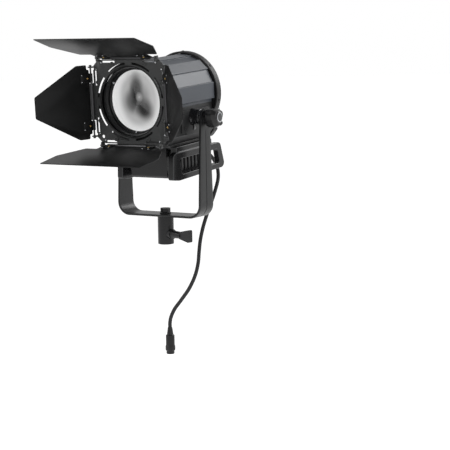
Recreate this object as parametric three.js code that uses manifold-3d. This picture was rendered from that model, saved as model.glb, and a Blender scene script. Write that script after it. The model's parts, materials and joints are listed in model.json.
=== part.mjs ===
// LED fresnel spotlight with a four-leaf barndoor, on a U-bent yoke with a spigot receiver.
// Millimetres. The origin is the bottom centre of the receiver, +Z is up, the beam leaves towards -Y,
// and the tilt lock knob is on the +X side. The head stands at its rest tilt, a few degrees nose down.
import * as THREE from "three";
import { mergeVertices } from "three/addons/utils/BufferGeometryUtils.js";
import Module from "manifold-3d";

const wasm = await Module();
wasm.setup();

// ---- driving dimensions ----
const GAP = 0.3; // air left between pieces that touch on the real lamp
const PIVOT_Z = 233.5; // tilt axis above the receiver's bottom
const REST_TILT = 3.6; // degrees nose down
const OPTIC_Z = 37.3; // optical axis above the tilt axis

const RECEIVER = { r: 14.7, bore: 8.1, height: 51.7, boreDepth: 42, boltHole: 4.5 };
const LOCK = { azimuth: 75, z: 19, bossR: 9.5, bossEnd: 19, screwR: 3.9 };
const YOKE = { half: 89, bar: 4, z: 52, bottomHalf: 23, topHalf: 15, bend: 24, taperFrom: 80 };

const HOUSING = { half: 62, wall: 3.5, top: 20, bottom: -44, front: -70.5, rear: 70 };
const COVER_REAR = 68;
const RING = { r: 74, wall: 4, front: 70.3, rear: 85 };
const PANEL = { front: 74, rear: 77 };
const BEZEL = { front: -78, rear: -70.8, step: -74 };
const BARREL = { r: 61.5, inner: 58.5, front: -97, rear: -71 };
const HUB = { r: 13.5, out: 82.7 };

const PLATE = { side: 147.5, front: -103.6, rear: -102.2, hole: 62.3, corner: 10 };
const HINGE = { radius: 77.5, y: -108.5, rod: 1.6, knuckle: 3.2, knuckleHole: 1.9, lug: 61.2 };
const SHEET = 1.2; // barndoor leaf thickness
const LATCH = { y: -81.5, z: 77, half: 8.4, front: -98.4 }; // z above the optical axis
const OPEN = { top: 18.5, right: 45.5, bottom: 6.5, left: 21 }; // leaf angles from the beam, degrees

const TRAY = { half: 50, top: -44.3, bottom: -48.3, front: -64, rear: 69.5 };
const DRIVER = { half: 38, top: -48.6, bottom: -105, front: -57, rear: 62, wall: 2.5 };
const RAIL = { inner: 48.5, outer: 60 };

const FOCUS = { x: 50, z: 2 };
const DIMMER = { x: 52, z: -25 };
const SWITCH = { x: -43, z: -24, rest: 7 };
const FAN = { z: 45, r: 32, front: 56.5, rear: 72 };
const CARRIAGE_Y = -20;

// The cord leaves the gland towards the rear, droops and hangs past the yoke. Points chosen by hand, in mm.
const CORD = { r: 3.5, sides: 8 };
const CORD_ROUTE = [
  [22, 95.7, 161.4], [22.1, 103, 161], [23.4, 113.6, 157.9], [26, 122.6, 151.3], [29.4, 128.9, 142],
  [33, 131.4, 131.2], [36.5, 129.3, 119.6], [39.3, 123.3, 108], [41, 114.4, 96.3], [41.3, 103.6, 80.5],
  [40, 92.3, 62.5], [37.8, 81.3, 43], [35.5, 72, 22], [34.4, 64, 0], [35.6, 57, -20], [37.4, 49.8, -41],
  [35.8, 41, -63], [28.5, 31.5, -86], [16, 22.8, -107.5], [4.7, 16.4, -125], [-1.2, 13, -140], [-3, 12, -151],
  [-3, 12, -158],
];

// ---- finishes ----
function finish(hex, roughness, metalness, extra = {}) {
  return new THREE.MeshStandardMaterial({ color: hex, roughness, metalness, ...extra });
}
const FINISH = {
  satinBlack: finish(0x2b2c2e, 0.45, 0.1),
  doorBlack: finish(0x1f2022, 0.5, 0.1),
  plateGrey: finish(0x3a3c3e, 0.45, 0.2),
  coverGrey: finish(0x8b9096, 0.4, 0.3),
  bodyBlack: finish(0x2d2e30, 0.5, 0.05),
  knobBlack: finish(0x1a1b1c, 0.45, 0),
  rubber: finish(0x151516, 0.7, 0),
  steel: finish(0xb9bcc0, 0.25, 1),
  aluminium: finish(0xa9adb2, 0.35, 0.9),
  brass: finish(0xb08a4a, 0.35, 1),
  lens: finish(0xe8ecee, 0.1, 0, { transparent: true, opacity: 0.5 }),
  board: finish(0x1d5b38, 0.5, 0),
  phosphor: finish(0xe6d36a, 0.5, 0),
  greyKnob: finish(0xb4b7ba, 0.4, 0.2),
  window: finish(0x10161c, 0.1, 0),
};

// ---- solids ----
// A closed geometry as a solid, whichever way its faces were wound.
function solid(geometry) {
  const loose = geometry.index ? geometry.toNonIndexed() : geometry;
  const bare = new THREE.BufferGeometry().setAttribute("position", loose.getAttribute("position"));
  const merged = mergeVertices(bare, 1e-4);
  const vertices = merged.attributes.position.array;
  const corner = (i) => new THREE.Vector3().fromArray(vertices, 3 * i);
  const faces = [];
  let volume = 0;
  for (let i = 0; i < merged.index.count; i += 3) {
    const [a, b, c] = merged.index.array.slice(i, i + 3);
    if (a === b || b === c || c === a) continue;
    faces.push([a, b, c]);
    volume += corner(a).dot(corner(b).cross(corner(c)));
  }
  const triVerts = new Uint32Array(faces.map((f) => (volume < 0 ? f.reverse() : f)).flat());
  return new wasm.Manifold(new wasm.Mesh({ numProp: 3, vertProperties: vertices, triVerts }));
}

const join = (first, ...rest) => rest.reduce((all, one) => all.add(one), first);
const cut = (first, ...rest) => rest.reduce((all, one) => all.subtract(one), first);

function box(x0, x1, y0, y1, z0, z1) {
  const geometry = new THREE.BoxGeometry(x1 - x0, y1 - y0, z1 - z0);
  return solid(geometry.translate((x0 + x1) / 2, (y0 + y1) / 2, (z0 + z1) / 2));
}

// A flat outline given thickness along one axis. Outlines are drawn in x,z for Y, in y,z for X and in x,y for Z.
const TO_X = new THREE.Matrix4().set(0, 0, 1, 0, 1, 0, 0, 0, 0, 1, 0, 0, 0, 0, 0, 1);
const TO_Y = new THREE.Matrix4().set(1, 0, 0, 0, 0, 0, -1, 0, 0, 1, 0, 0, 0, 0, 0, 1);
function thick(shape, from, to, matrix, curveSegments = 6) {
  const geometry = new THREE.ExtrudeGeometry(shape, { depth: to - from, bevelEnabled: false, curveSegments });
  return geometry.applyMatrix4(matrix);
}
const alongX = (shape, x0, x1, segments) => solid(thick(shape, x0, x1, TO_X, segments).translate(x0, 0, 0));
const alongY = (shape, y0, y1, segments) => solid(thick(shape, y0, y1, TO_Y, segments).translate(0, y1, 0));
function alongZ(shape, z0, z1, segments) {
  return solid(thick(shape, z0, z1, new THREE.Matrix4(), segments).translate(0, 0, z0));
}

// A turned piece from [radius, height] points, closed to the axis unless the profile is a ring.
function turned(points, axis, sides = 24) {
  const geometry = new THREE.LatheGeometry(points.map(([r, h]) => new THREE.Vector2(r, h)), sides);
  if (axis === "x") geometry.rotateZ(-Math.PI / 2);
  if (axis === "z") geometry.rotateX(Math.PI / 2);
  return solid(geometry);
}
function rod(axis, r, from, to, sides = 16) {
  return turned([[0, from], [r, from], [r, to], [0, to]], axis, sides);
}
function tube(axis, outer, inner, from, to, sides = 24) {
  return turned([[inner, from], [outer, from], [outer, to], [inner, to], [inner, from]], axis, sides);
}
const moved = (body, x, y, z) => body.translate([x, y, z]);

function polygon(points) {
  return new THREE.Shape(points.map(([x, y]) => new THREE.Vector2(x, y)));
}
// A polygon whose corners are rounded off by quadratic curves that start `radius` before each corner,
// or nearly halfway along an edge that is too short for that.
function rounded(points, radius) {
  const shape = new THREE.Shape();
  const at = points.map(([x, y]) => new THREE.Vector2(x, y));
  at.forEach((corner, i) => {
    const before = at[(i + at.length - 1) % at.length];
    const after = at[(i + 1) % at.length];
    const reach = (other) => Math.min(radius, 0.45 * other.distanceTo(corner));
    const near = (other) => other.clone().sub(corner).setLength(reach(other)).add(corner);
    const start = near(before);
    const end = near(after);
    if (i === 0) shape.moveTo(start.x, start.y);
    else shape.lineTo(start.x, start.y);
    shape.quadraticCurveTo(corner.x, corner.y, end.x, end.y);
  });
  shape.closePath();
  return shape;
}
const mirrored = (half) => [...half, ...half.filter(([x]) => x !== 0).map(([x, y]) => [-x, y]).reverse()];

// ---- scene graph helpers ----
function place(parent, name, body, material) {
  const result = body.getMesh();
  const geometry = new THREE.BufferGeometry();
  geometry.setAttribute("position", new THREE.BufferAttribute(result.vertProperties, 3));
  geometry.setIndex(new THREE.BufferAttribute(result.triVerts, 1));
  geometry.computeVertexNormals();
  const mesh = new THREE.Mesh(geometry, material);
  mesh.name = name;
  parent.add(mesh);
}
function groupAt(parent, x, y, z) {
  const group = new THREE.Group();
  group.position.set(x, y, z);
  parent.add(group);
  return group;
}
const radians = THREE.MathUtils.degToRad;

// ---- yoke and receiver ----
function yokeOutline(inset) {
  const half = YOKE.half - inset;
  const bend = YOKE.bend - inset;
  const low = YOKE.z + inset;
  const high = PIVOT_Z + 2 * YOKE.topHalf;
  const shape = new THREE.Shape();
  shape.moveTo(-half, high);
  shape.lineTo(-half, low + bend);
  shape.absarc(-half + bend, low + bend, bend, Math.PI, 1.5 * Math.PI, false);
  shape.lineTo(half - bend, low);
  shape.absarc(half - bend, low + bend, bend, 1.5 * Math.PI, 2 * Math.PI, false);
  shape.lineTo(half, high);
  shape.closePath();
  return shape;
}
function yokeBracket() {
  const { half, bar, bottomHalf, topHalf, taperFrom } = YOKE;
  const outer = alongY(yokeOutline(0), -bottomHalf, bottomHalf, 7);
  const inner = alongY(yokeOutline(bar), -bottomHalf - 1, bottomHalf + 1, 7);
  const side = new THREE.Shape();
  side.moveTo(-bottomHalf, YOKE.z - 1);
  side.lineTo(bottomHalf, YOKE.z - 1);
  side.lineTo(bottomHalf, taperFrom);
  side.lineTo(topHalf, PIVOT_Z);
  side.absarc(0, PIVOT_Z, topHalf, 0, Math.PI, false);
  side.lineTo(-bottomHalf, taperFrom);
  side.closePath();
  const taper = alongX(side, -half - 1, half + 1, 8);
  const crease = cut(
    alongY(yokeOutline(-1), -1.2, 1.2, 7),
    alongY(yokeOutline(0.7), -2, 2, 7),
    box(-half - 2, half + 2, -3, 3, PIVOT_Z - 24, PIVOT_Z + 60),
  );
  const pivotHole = moved(rod("x", 5.4, -half - 1, half + 1), 0, 0, PIVOT_Z);
  return cut(outer.subtract(inner).intersect(taper), crease, pivotHole, rod("z", 4.9, 50, 60));
}
function receiverSleeve() {
  const { r, height, bore, boreDepth, boltHole } = RECEIVER;
  const body = turned([[0, 0], [r - 0.8, 0], [r, 0.8], [r, height - 0.8], [r - 0.8, height], [0, height]], "z", 32);
  const boss = moved(rod("x", LOCK.bossR, 0, LOCK.bossEnd, 20), 0, 0, LOCK.z);
  const screwHole = moved(rod("x", LOCK.screwR + GAP, 0, LOCK.bossEnd + 1, 16), 0, 0, LOCK.z);
  const whole = body.add(boss.rotate([0, 0, LOCK.azimuth - 90]));
  return cut(
    whole,
    rod("z", bore, -1, boreDepth, 28),
    rod("z", boltHole, boreDepth - 1, height + 1, 16),
    screwHole.rotate([0, 0, LOCK.azimuth - 90]),
  );
}
// T handle drawn along +X from the receiver's axis.
function lockHandle() {
  const start = LOCK.bossEnd + 0.6;
  const barrel = turned([[0, start], [8.2, start], [7, start + 3], [6.4, 42], [0, 42]], "x", 20);
  const wing = rounded([[38, -6], [66, -12], [66, 12], [38, 6]], 4);
  const plate = solid(thick(wing, 0, 9, new THREE.Matrix4(), 4).rotateX(Math.PI / 2).translate(0, 4.5, 0));
  return join(barrel, plate, rod("x", LOCK.screwR, 8.8, 30, 16));
}
function yokeBolt() {
  const top = YOKE.z + YOKE.bar + GAP;
  const flange = turned([[0, top], [10.4, top], [10.4, top + 1.4], [8, top + 3], [0, top + 3]], "z", 24);
  return join(flange, rod("z", 9.2, top + 2, top + 10.2, 6), rod("z", 4.2, 43, top + 1, 16));
}

function tiltKnob() {
  const x = YOKE.half + 0.4;
  const lobes = [];
  for (let i = 0; i < 12; i++) {
    const a = radians(30 * i + 15);
    const r = i % 4 < 2 ? 19 : 15.5;
    lobes.push([r * Math.cos(a), r * Math.sin(a)]);
  }
  const shape = rounded(lobes, 1.5);
  const bevel = { depth: 12, bevelEnabled: true, bevelThickness: 7, bevelSize: 4, bevelOffset: -4, bevelSegments: 1 };
  const grip = new THREE.ExtrudeGeometry(shape, { ...bevel, curveSegments: 2 });
  const collar = turned([[0, x], [13, x], [13, x + 4], [0, x + 4]], "x", 20);
  return cut(
    join(collar, solid(grip.applyMatrix4(TO_X).translate(x + 9, 0, 0))),
    rod("x", 4.4, x - 1, x + 12, 16),
  );
}
function hub() {
  const { half } = HOUSING;
  const body = turned([[0, half + GAP], [HUB.r + 2, half + GAP], [HUB.r, half + 6], [HUB.r, HUB.out], [0, HUB.out]], "x", 24);
  return body.subtract(rod("x", 4.4, 65, HUB.out + 1, 16));
}
const PIVOT_BOLT = [[0, 66], [4.1, 66], [4.1, 89.4], [9.5, 89.4], [9.5, 92], [7.5, 95.5], [0, 95.5]];

// ---- head: outer shells ----
const COVER_OUT = [
  [62.6, 20.4], [62.6, 25], [69, 27], [69, 55.5], [67, 56.5], [56.4, 78], [58.2, 79.8], [41.2, 96],
  [39.2, 95], [22.6, 101.8], [23, 104], [0, 106.8],
];
const COVER_IN = [
  [59, 19], [59, 28], [65.4, 30], [65.4, 54.5], [53, 76.5], [37.4, 91.6], [20.5, 99], [0, 102.6],
];
// The housing's lower outline, set in by `inset` from the outside.
function belly(inset) {
  const half = HOUSING.half - inset;
  const low = HOUSING.bottom + inset;
  return [[half - 12, low], [half, low + 14]];
}
function lowerHousing() {
  const { half, wall, top, front, rear } = HOUSING;
  const outside = polygon(mirrored([...belly(0), [half, top]]));
  const inside = polygon(mirrored([...belly(wall), [half - wall, top + 1]]));
  const trough = alongY(outside, front, rear).subtract(alongY(inside, front - 1, rear + 1));
  const hubHole = moved(rod("x", 5, -half - 1, half + 1), 0, 0, 0);
  return trough.subtract(hubHole);
}
function topCover() {
  const outside = alongY(polygon(mirrored(COVER_OUT)), HOUSING.front, COVER_REAR);
  return outside.subtract(alongY(polygon(mirrored(COVER_IN)), HOUSING.front - 1, COVER_REAR + 1));
}
function sidePanel() {
  const plate = rounded([[-40, -26], [-29, -26], [-24, -30], [58, -30], [58, 13], [-40, 13]], 2.5);
  const x = HOUSING.half + GAP;
  return cut(alongX(plate, x, x + 1.6, 3), rod("x", HUB.r + 2.4, x - 1, x + 3, 24));
}
// An arch: round over the optical axis, straight sided below, set in by `inset`.
function archShape(inset) {
  const r = RING.r - inset;
  const half = HOUSING.half + 0.5 - inset;
  const low = HOUSING.bottom - 1.5 + inset;
  const meet = Math.acos(half / r);
  const shape = new THREE.Shape();
  shape.moveTo(half, low + 12);
  shape.lineTo(half, OPTIC_Z - r * Math.sin(meet));
  shape.absarc(0, OPTIC_Z, r, -meet, Math.PI + meet, false);
  shape.lineTo(-half, low + 12);
  shape.lineTo(-half + 11, low);
  shape.lineTo(half - 11, low);
  shape.closePath();
  return shape;
}
function rearRing() {
  const outer = alongY(archShape(0), RING.front, RING.rear, 28);
  return outer.subtract(alongY(archShape(RING.wall), RING.front - 1, RING.rear + 1, 28));
}
const controlHole = (at, r) => moved(rod("y", r, 60, 90, 16), at.x, 0, at.z);
const SOCKETS = [{ x: -22, z: -24 }, { x: 4, z: -24 }];
function rearPanel() {
  return cut(
    alongY(archShape(RING.wall + GAP), PANEL.front, PANEL.rear, 24),
    moved(rod("y", FAN.r, 60, 90, 24), 0, 0, FAN.z),
    controlHole(FOCUS, 4),
    controlHole(DIMMER, 3.2),
    ...SOCKETS.map((at) => controlHole(at, 8.2)),
    box(SWITCH.x - 6, SWITCH.x + 6, 60, 90, SWITCH.z - 10.2, SWITCH.z + 10.2),
  );
}
function rearBulkhead() {
  const outline = polygon(mirrored([[46, -39], [57, -26], [57, 30], [60, 54], [48, 74], [34, 86], [0, 95]]));
  return cut(
    alongY(outline, COVER_REAR + GAP, COVER_REAR + 2),
    box(-34, 34, 60, 80, FAN.z - 34, FAN.z + 34),
    controlHole(FOCUS, 3.5),
  );
}

// ---- head: optics ----
function frontBezel() {
  const outline = alongY(archShape(4), BEZEL.front, BEZEL.rear, 28);
  const hole = moved(rod("y", BARREL.r + 0.4, -90, -60, 36), 0, 0, OPTIC_Z);
  const seat = moved(rod("y", 64.4, BEZEL.step, -60, 36), 0, 0, OPTIC_Z);
  const ears = [90, 180, 270].map((turn) => {
    const wall = box(-14, 14, -98, BEZEL.front + 1, 70.8, 75);
    const lip = box(-14, 14, -98, -95.6, 66.6, 75);
    const foot = box(-14, 14, -81, BEZEL.front + 1, 64, 75);
    return moved(join(wall, lip, foot).rotate([0, turn, 0]), 0, 0, OPTIC_Z);
  });
  return join(cut(outline, hole, seat), ...ears);
}
function lensBarrel() {
  const { r, inner, front, rear } = BARREL;
  const profile = [
    [inner + 1.6, front], [r, front], [r, -73.7], [64, -73.7], [64, rear], [54, rear], [54, -73.2],
    [inner, -73.2], [inner, front + 4], [inner + 1.6, front],
  ];
  return turned(profile, "y", 32);
}
function lensRing() {
  const r = BARREL.inner - GAP;
  return turned([[54.2, -82], [55.4, -84], [r, -84], [r, -80.2], [54.2, -80.2], [54.2, -82]], "y", 32);
}
// A stepped plano-convex lens: each zone of the front face leans in and then drops back.
function fresnelLens() {
  const edge = BARREL.inner - GAP;
  const zones = 6;
  const zoneWidth = (edge - 15) / zones;
  const front = [[0, -79.9], [7.5, -79.5], [15, -78.2]];
  for (let i = 0; i < zones; i++) {
    const r = 15 + i * zoneWidth;
    front.push([r + 0.4, -79.8]);
    front.push([r + zoneWidth - (i === zones - 1 ? 0 : 0.01), -78.2]);
  }
  return turned([...front, [edge, -73.5], [0, -73.5]], "y", 32);
}

// The latch over the barndoor's ring: a fixed bracket with a pin, and a hook that swings up on it.
function latchBracket() {
  const rear = BEZEL.front - GAP;
  const cheeks = [-1, 1].map((s) => box(s * 10.5 - 1.5, s * 10.5 + 1.5, -86, rear, 66, 80));
  return join(box(-12, 12, -79.8, rear, 66, 70), ...cheeks, moved(rod("x", 1.8, -12, 12, 12), 0, LATCH.y, LATCH.z));
}
function latchHook() {
  const barrel = moved(rod("x", 4, -LATCH.half, LATCH.half, 16), 0, LATCH.y, LATCH.z);
  const arm = box(-LATCH.half, LATCH.half, LATCH.front, LATCH.y, 73.5, 77.5);
  const lip = box(-LATCH.half, LATCH.half, LATCH.front, -96, 66.8, 77.5);
  return join(barrel, arm, lip).subtract(moved(rod("x", 2.1, -20, 20, 12), 0, LATCH.y, LATCH.z));
}

// ---- head: light engine ----
function heatSink() {
  const plate = box(-54, 54, CARRIAGE_Y, CARRIAGE_Y + 5, OPTIC_Z - 30, OPTIC_Z + 30);
  const fins = Array.from({ length: 9 }, (_, i) => {
    const x = -36 + i * 9;
    return box(x - 1, x + 1, CARRIAGE_Y + 4, CARRIAGE_Y + 36, OPTIC_Z - 28, OPTIC_Z + 28);
  });
  const holes = [-46, 46].map((x) => moved(rod("y", 3.4, -40, 20, 12), x, 0, OPTIC_Z));
  return cut(join(plate, ...fins), ...holes);
}
function carriageNut() {
  const y = CARRIAGE_Y + 5 + GAP;
  return box(44, 56, y, y + 8, -5, 22).subtract(moved(rod("y", 3.4, y - 1, y + 9, 12), FOCUS.x, 0, FOCUS.z));
}
function fanFrame() {
  const frame = cut(
    box(-33.5, 33.5, FAN.front, FAN.rear, FAN.z - 33.5, FAN.z + 33.5),
    moved(rod("y", 31, FAN.front - 1, FAN.rear + 1, 28), 0, 0, FAN.z),
  );
  const struts = [0, 90].map((turn) => {
    return moved(box(-32, 32, FAN.front, FAN.front + 1.6, -1.5, 1.5).rotate([0, turn + 45, 0]), 0, 0, FAN.z);
  });
  return join(frame, ...struts, moved(rod("y", 12, FAN.front, FAN.front + 3, 20), 0, 0, FAN.z));
}
function fanRotor() {
  const blades = Array.from({ length: 7 }, (_, i) => {
    const blade = box(-1, 1, -5, 5, 10, 29.5).rotate([0, 0, 40]);
    return blade.rotate([0, (i * 360) / 7, 0]);
  });
  const hub = turned([[0, -6], [12.5, -6], [13, -5], [13, 6], [0, 6]], "y", 20);
  return join(hub, ...blades);
}
function fanGrille() {
  const rings = [[7, 10], [16, 18.5], [25, 27.5], [34, 37]].map(([inner, outer]) => {
    return tube("y", outer, inner, 0, 2, 20);
  });
  const spokes = [0, 90].map((turn) => box(-36, 36, 0, 1.4, -1.2, 1.2).rotate([0, turn, 0]));
  return join(rings[0], ...rings.slice(1), ...spokes);
}

// ---- head: controls ----
function focusKnob() {
  const grip = turned([[0, 87], [9, 87], [10, 88.5], [10, 100], [8.8, 102], [0, 102]], "y", 24);
  return grip.subtract(rod("y", 3 + GAP, 86, 94, 12));
}
function dimmerKnob() {
  const ball = solid(new THREE.SphereGeometry(5.6, 12, 8).translate(0, 111, 0));
  return join(ball, rod("y", 2.4, 70.4, 108, 12), turned([[0, 86], [6, 86], [4, 90], [0, 90]], "y", 16));
}
function rocker() {
  const profile = [[-4.5, -7.5], [0, -9.4], [2.2, -9.4], [0.4, 0], [2.2, 9.4], [0, 9.4], [-4.5, 7.5]];
  return alongX(polygon(profile), -5.5, 5.5);
}
const SOCKET_PROFILE = [[6, 70], [7.9, 70], [7.9, 77.2], [10, 77.2], [10, 80], [8.6, 84], [6, 84], [6, 70]];

// ---- head: tray, driver box and bumper rails ----
function driverCase() {
  const { half, top, bottom, front, rear, wall } = DRIVER;
  const side = rounded([[front, bottom + 4], [front + 4, bottom], [rear, bottom], [rear, top], [front, top]], 1.5);
  return cut(alongX(side, -half, half, 3), box(-half + wall, half - wall, front + wall, rear + 1, bottom + wall, top - wall));
}
function driverCover() {
  const { half, top, bottom, rear } = DRIVER;
  const hole = moved(rod("y", 5.4, rear - 1, rear + 5, 16), 22, 0, -78);
  return box(-half, half, rear + GAP, rear + 2.3, bottom, top).subtract(hole);
}
function driverBoard() {
  const parts = [
    [-30, 30, -50, 52, -96, -94], [-22, -2, -40, -14, -95, -76], [6, 26, -38, -10, -95, -80],
    [-26, -8, 0, 22, -95, -74], [8, 20, 6, 30, -95, -84],
  ];
  return join(...parts.map((p) => box(...p)));
}
function bumperRail() {
  const { inner, outer } = RAIL;
  const outline = [[-67, -62], [-58, -58], [92, -58], [97, -62], [108, -99], [102, -106], [-50, -108.5], [-71, -105]];
  const opening = [[-46, -70], [86, -70], [91, -96], [-40, -98.5]];
  const loop = alongX(rounded(outline, 4), inner, outer, 4).subtract(alongX(rounded(opening, 5), 40, 70, 4));
  const flange = box(DRIVER.half + 1, outer - 3, -52, 70, -61, TRAY.bottom - GAP);
  const clear = box(30, RAIL.inner - 4, -60, 80, -70, -52.4);
  return loop.add(flange.subtract(clear));
}
function cordGland() {
  const y = DRIVER.rear + 2.3 + GAP;
  const profile = [
    [0, y - 8], [5, y - 8], [5, y], [8.5, y], [8.5, y + 6], [7, y + 7.5], [4.4, y + 26], [0, y + 26],
  ];
  return turned(profile, "y", 20);
}

// ---- barndoor ----
// An arc-shaped slot around the origin, centred on `angle` degrees.
function arcSlot(angle, spread, inner, outer) {
  const from = radians(angle - spread / 2);
  const to = radians(angle + spread / 2);
  const shape = new THREE.Path();
  shape.absarc(0, 0, outer, from, to, false);
  shape.absarc(0, 0, inner, to, from, true);
  shape.closePath();
  return shape;
}
function barndoorPlate() {
  const half = PLATE.side / 2;
  const c = PLATE.corner;
  const shape = polygon([
    [-half, -half + c], [-half + c, -half], [half - c, -half], [half, -half + c],
    [half, half - c], [half - c, half], [-half + c, half], [-half, half - c],
  ]);
  for (let i = 0; i < 8; i++) shape.holes.push(arcSlot(22.5 + 45 * i, 33, 65.4, 69.2));
  shape.holes.push(new THREE.Path().absarc(-61.5, -62, 3, 0, 2 * Math.PI, true));
  const sheet = alongY(shape, PLATE.front, PLATE.rear, 5);
  const sides = [0, 90, 180, 270].map((turn) => {
    const lip = box(-56, 56, -105.8, PLATE.front + 0.5, half - 1.4, half);
    const lugs = [-1, 1].map((s) => {
      const x = s * HINGE.lug;
      return box(x - 1.2, x + 1.2, -112, PLATE.rear, half - 2.5, HINGE.radius + 3);
    });
    return join(lip, ...lugs).rotate([0, turn, 0]);
  });
  const cuts = [0, 90, 180, 270].map((turn) => {
    const slots = [-1, 1].map((s) => box(s * 41.5 - 13, s * 41.5 + 13, -110, -100, half - 5.2, half - 2));
    const rodHole = moved(rod("x", HINGE.knuckleHole, -70, 70, 12), 0, HINGE.y, HINGE.radius);
    return join(slots[0], slots[1], rodHole).rotate([0, turn, 0]);
  });
  const mouth = rod("y", PLATE.hole, PLATE.front - 1, PLATE.rear + 1, 48);
  return cut(join(sheet, ...sides), mouth, ...cuts);
}
function barndoorRing() {
  const profile = [
    [63.5, -101.9], [65.2, -101.9], [65.2, -95], [70, -95], [70, -93], [63.5, -93], [63.5, -101.9],
  ];
  return turned(profile, "y", 32);
}
function hingeRod() {
  const profile = [[0, -65], [2.2, -65], [2.2, -63], [HINGE.rod, -63], [HINGE.rod, 63], [2.2, 63], [2.2, 65], [0, 65]];
  return turned(profile, "x", 12);
}
const WIDE_LEAF = [[57, 4], [57, 25], [80, 25], [106, 78], [103, 131]];
const NARROW_LEAF = [[57, 4], [57, 9], [65.5, 9], [65.5, 30], [18.5, 118]];
// A leaf in its hinge frame: the hinge line is X, the leaf runs forward along -Y, +Z is its outer face.
function leaf(half) {
  const outline = rounded(mirrored(half.map(([x, r]) => [x, -r])), 2.5);
  const slot = rounded([[-27, -6], [27, -6], [27, -9], [-27, -9]], 1.4);
  const sheet = alongZ(outline, -SHEET / 2, SHEET / 2, 3).subtract(alongZ(slot, -2, 2, 2));
  const brackets = [-42, 42].map((x) => {
    const knuckle = moved(tube("x", HINGE.knuckle, HINGE.knuckleHole, -8, 8, 12), x, 0, 0);
    const strap = box(x - 8, x + 8, -22, -2.4, -0.2, 2);
    return join(knuckle, strap);
  });
  return join(sheet, ...brackets);
}

// ---- cord ----
function cordTube() {
  const curve = new THREE.CatmullRomCurve3(CORD_ROUTE.map((p) => new THREE.Vector3(...p)), false, "centripetal");
  const section = new THREE.Shape();
  for (let i = 0; i < CORD.sides; i++) {
    const a = (2 * Math.PI * i) / CORD.sides;
    if (i === 0) section.moveTo(CORD.r, 0);
    else section.lineTo(CORD.r * Math.cos(a), CORD.r * Math.sin(a));
  }
  section.closePath();
  return solid(new THREE.ExtrudeGeometry(section, { steps: 32, bevelEnabled: false, extrudePath: curve }));
}
// The inline connector hangs straight down from the cord's end.
function cordConnector() {
  const profile = [
    [0, 0], [4.2, 0], [6.2, -14], [8.2, -15], [8.2, -34], [9.2, -35], [9.2, -43], [7.6, -44], [7.6, -50],
    [6.2, -50], [6.2, -40], [0, -40],
  ];
  return turned(profile, "z", 20);
}

// ---- assembly ----
const lamp = new THREE.Group();

place(lamp, "yoke_bracket", yokeBracket(), FINISH.satinBlack);
place(lamp, "receiver_sleeve", receiverSleeve(), FINISH.satinBlack);
place(lamp, "yoke_bolt", yokeBolt(), FINISH.knobBlack);

const lockGroup = groupAt(lamp, 0, 0, LOCK.z);
lockGroup.rotation.z = radians(LOCK.azimuth - 90);
place(lockGroup, "spigot_lock_handle", lockHandle(), FINISH.knobBlack);

const pivot = groupAt(lamp, 0, 0, PIVOT_Z);
const washer = () => tube("x", 13, 5.4, HUB.out + GAP, YOKE.half - YOKE.bar - GAP, 24);
place(pivot, "tilt_washer_right", washer(), FINISH.steel);
place(pivot, "tilt_washer_left", washer().mirror([1, 0, 0]), FINISH.steel);

place(pivot, "tilt_lock_knob", tiltKnob(), FINISH.knobBlack);
place(pivot, "tilt_lock_screw", rod("x", 4.1, 66, YOKE.half + 12, 16), FINISH.steel);

const head = groupAt(lamp, 0, 0, PIVOT_Z);
head.rotation.x = radians(REST_TILT);
place(head, "tilt_hub_right", hub(), FINISH.knobBlack);
place(head, "tilt_hub_left", hub().mirror([1, 0, 0]), FINISH.knobBlack);
place(head, "pivot_bolt_left", turned(PIVOT_BOLT, "x", 20).mirror([1, 0, 0]), FINISH.steel);
place(head, "lower_housing", lowerHousing(), FINISH.bodyBlack);
place(head, "side_panel_right", sidePanel(), FINISH.bodyBlack);
place(head, "side_panel_left", sidePanel().mirror([1, 0, 0]), FINISH.bodyBlack);
place(head, "top_cover", topCover(), FINISH.coverGrey);
place(head, "rear_ring", rearRing(), FINISH.bodyBlack);
place(head, "rear_panel", rearPanel(), FINISH.bodyBlack);
place(head, "rear_bulkhead", rearBulkhead(), FINISH.bodyBlack);
place(head, "front_bezel", frontBezel(), FINISH.bodyBlack);

const optics = groupAt(head, 0, 0, OPTIC_Z);
place(optics, "lens_barrel", lensBarrel(), FINISH.satinBlack);
place(optics, "lens_retaining_ring", lensRing(), FINISH.satinBlack);
place(optics, "fresnel_lens", fresnelLens(), FINISH.lens);
for (const [side, x] of [["left", -46], ["right", 46]]) {
  const guide = groupAt(optics, x, 0, 0);
  place(guide, `guide_rod_${side}`, rod("y", 3, BEZEL.rear + 10, COVER_REAR, 12), FINISH.steel);
}
place(optics, "led_board", box(-20, 20, CARRIAGE_Y - 1.9, CARRIAGE_Y - GAP, -20, 20), FINISH.board);
const dome = [[0, -28], [7, -26.5], [11, -23.5], [12, -22.2], [0, -22.2]];
place(optics, "led_emitter", turned(dome, "y", 20), FINISH.phosphor);
place(head, "heat_sink", heatSink(), FINISH.aluminium);
place(head, "carriage_nut", carriageNut(), FINISH.brass);

const focus = groupAt(head, FOCUS.x, 0, FOCUS.z);
place(focus, "lead_screw", rod("y", 3, -62, 93.5, 12), FINISH.steel);
place(focus, "focus_knob", focusKnob(), FINISH.greyKnob);
const dimmer = groupAt(head, DIMMER.x, 0, DIMMER.z);
place(dimmer, "dimmer_knob", dimmerKnob(), FINISH.knobBlack);

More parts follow.
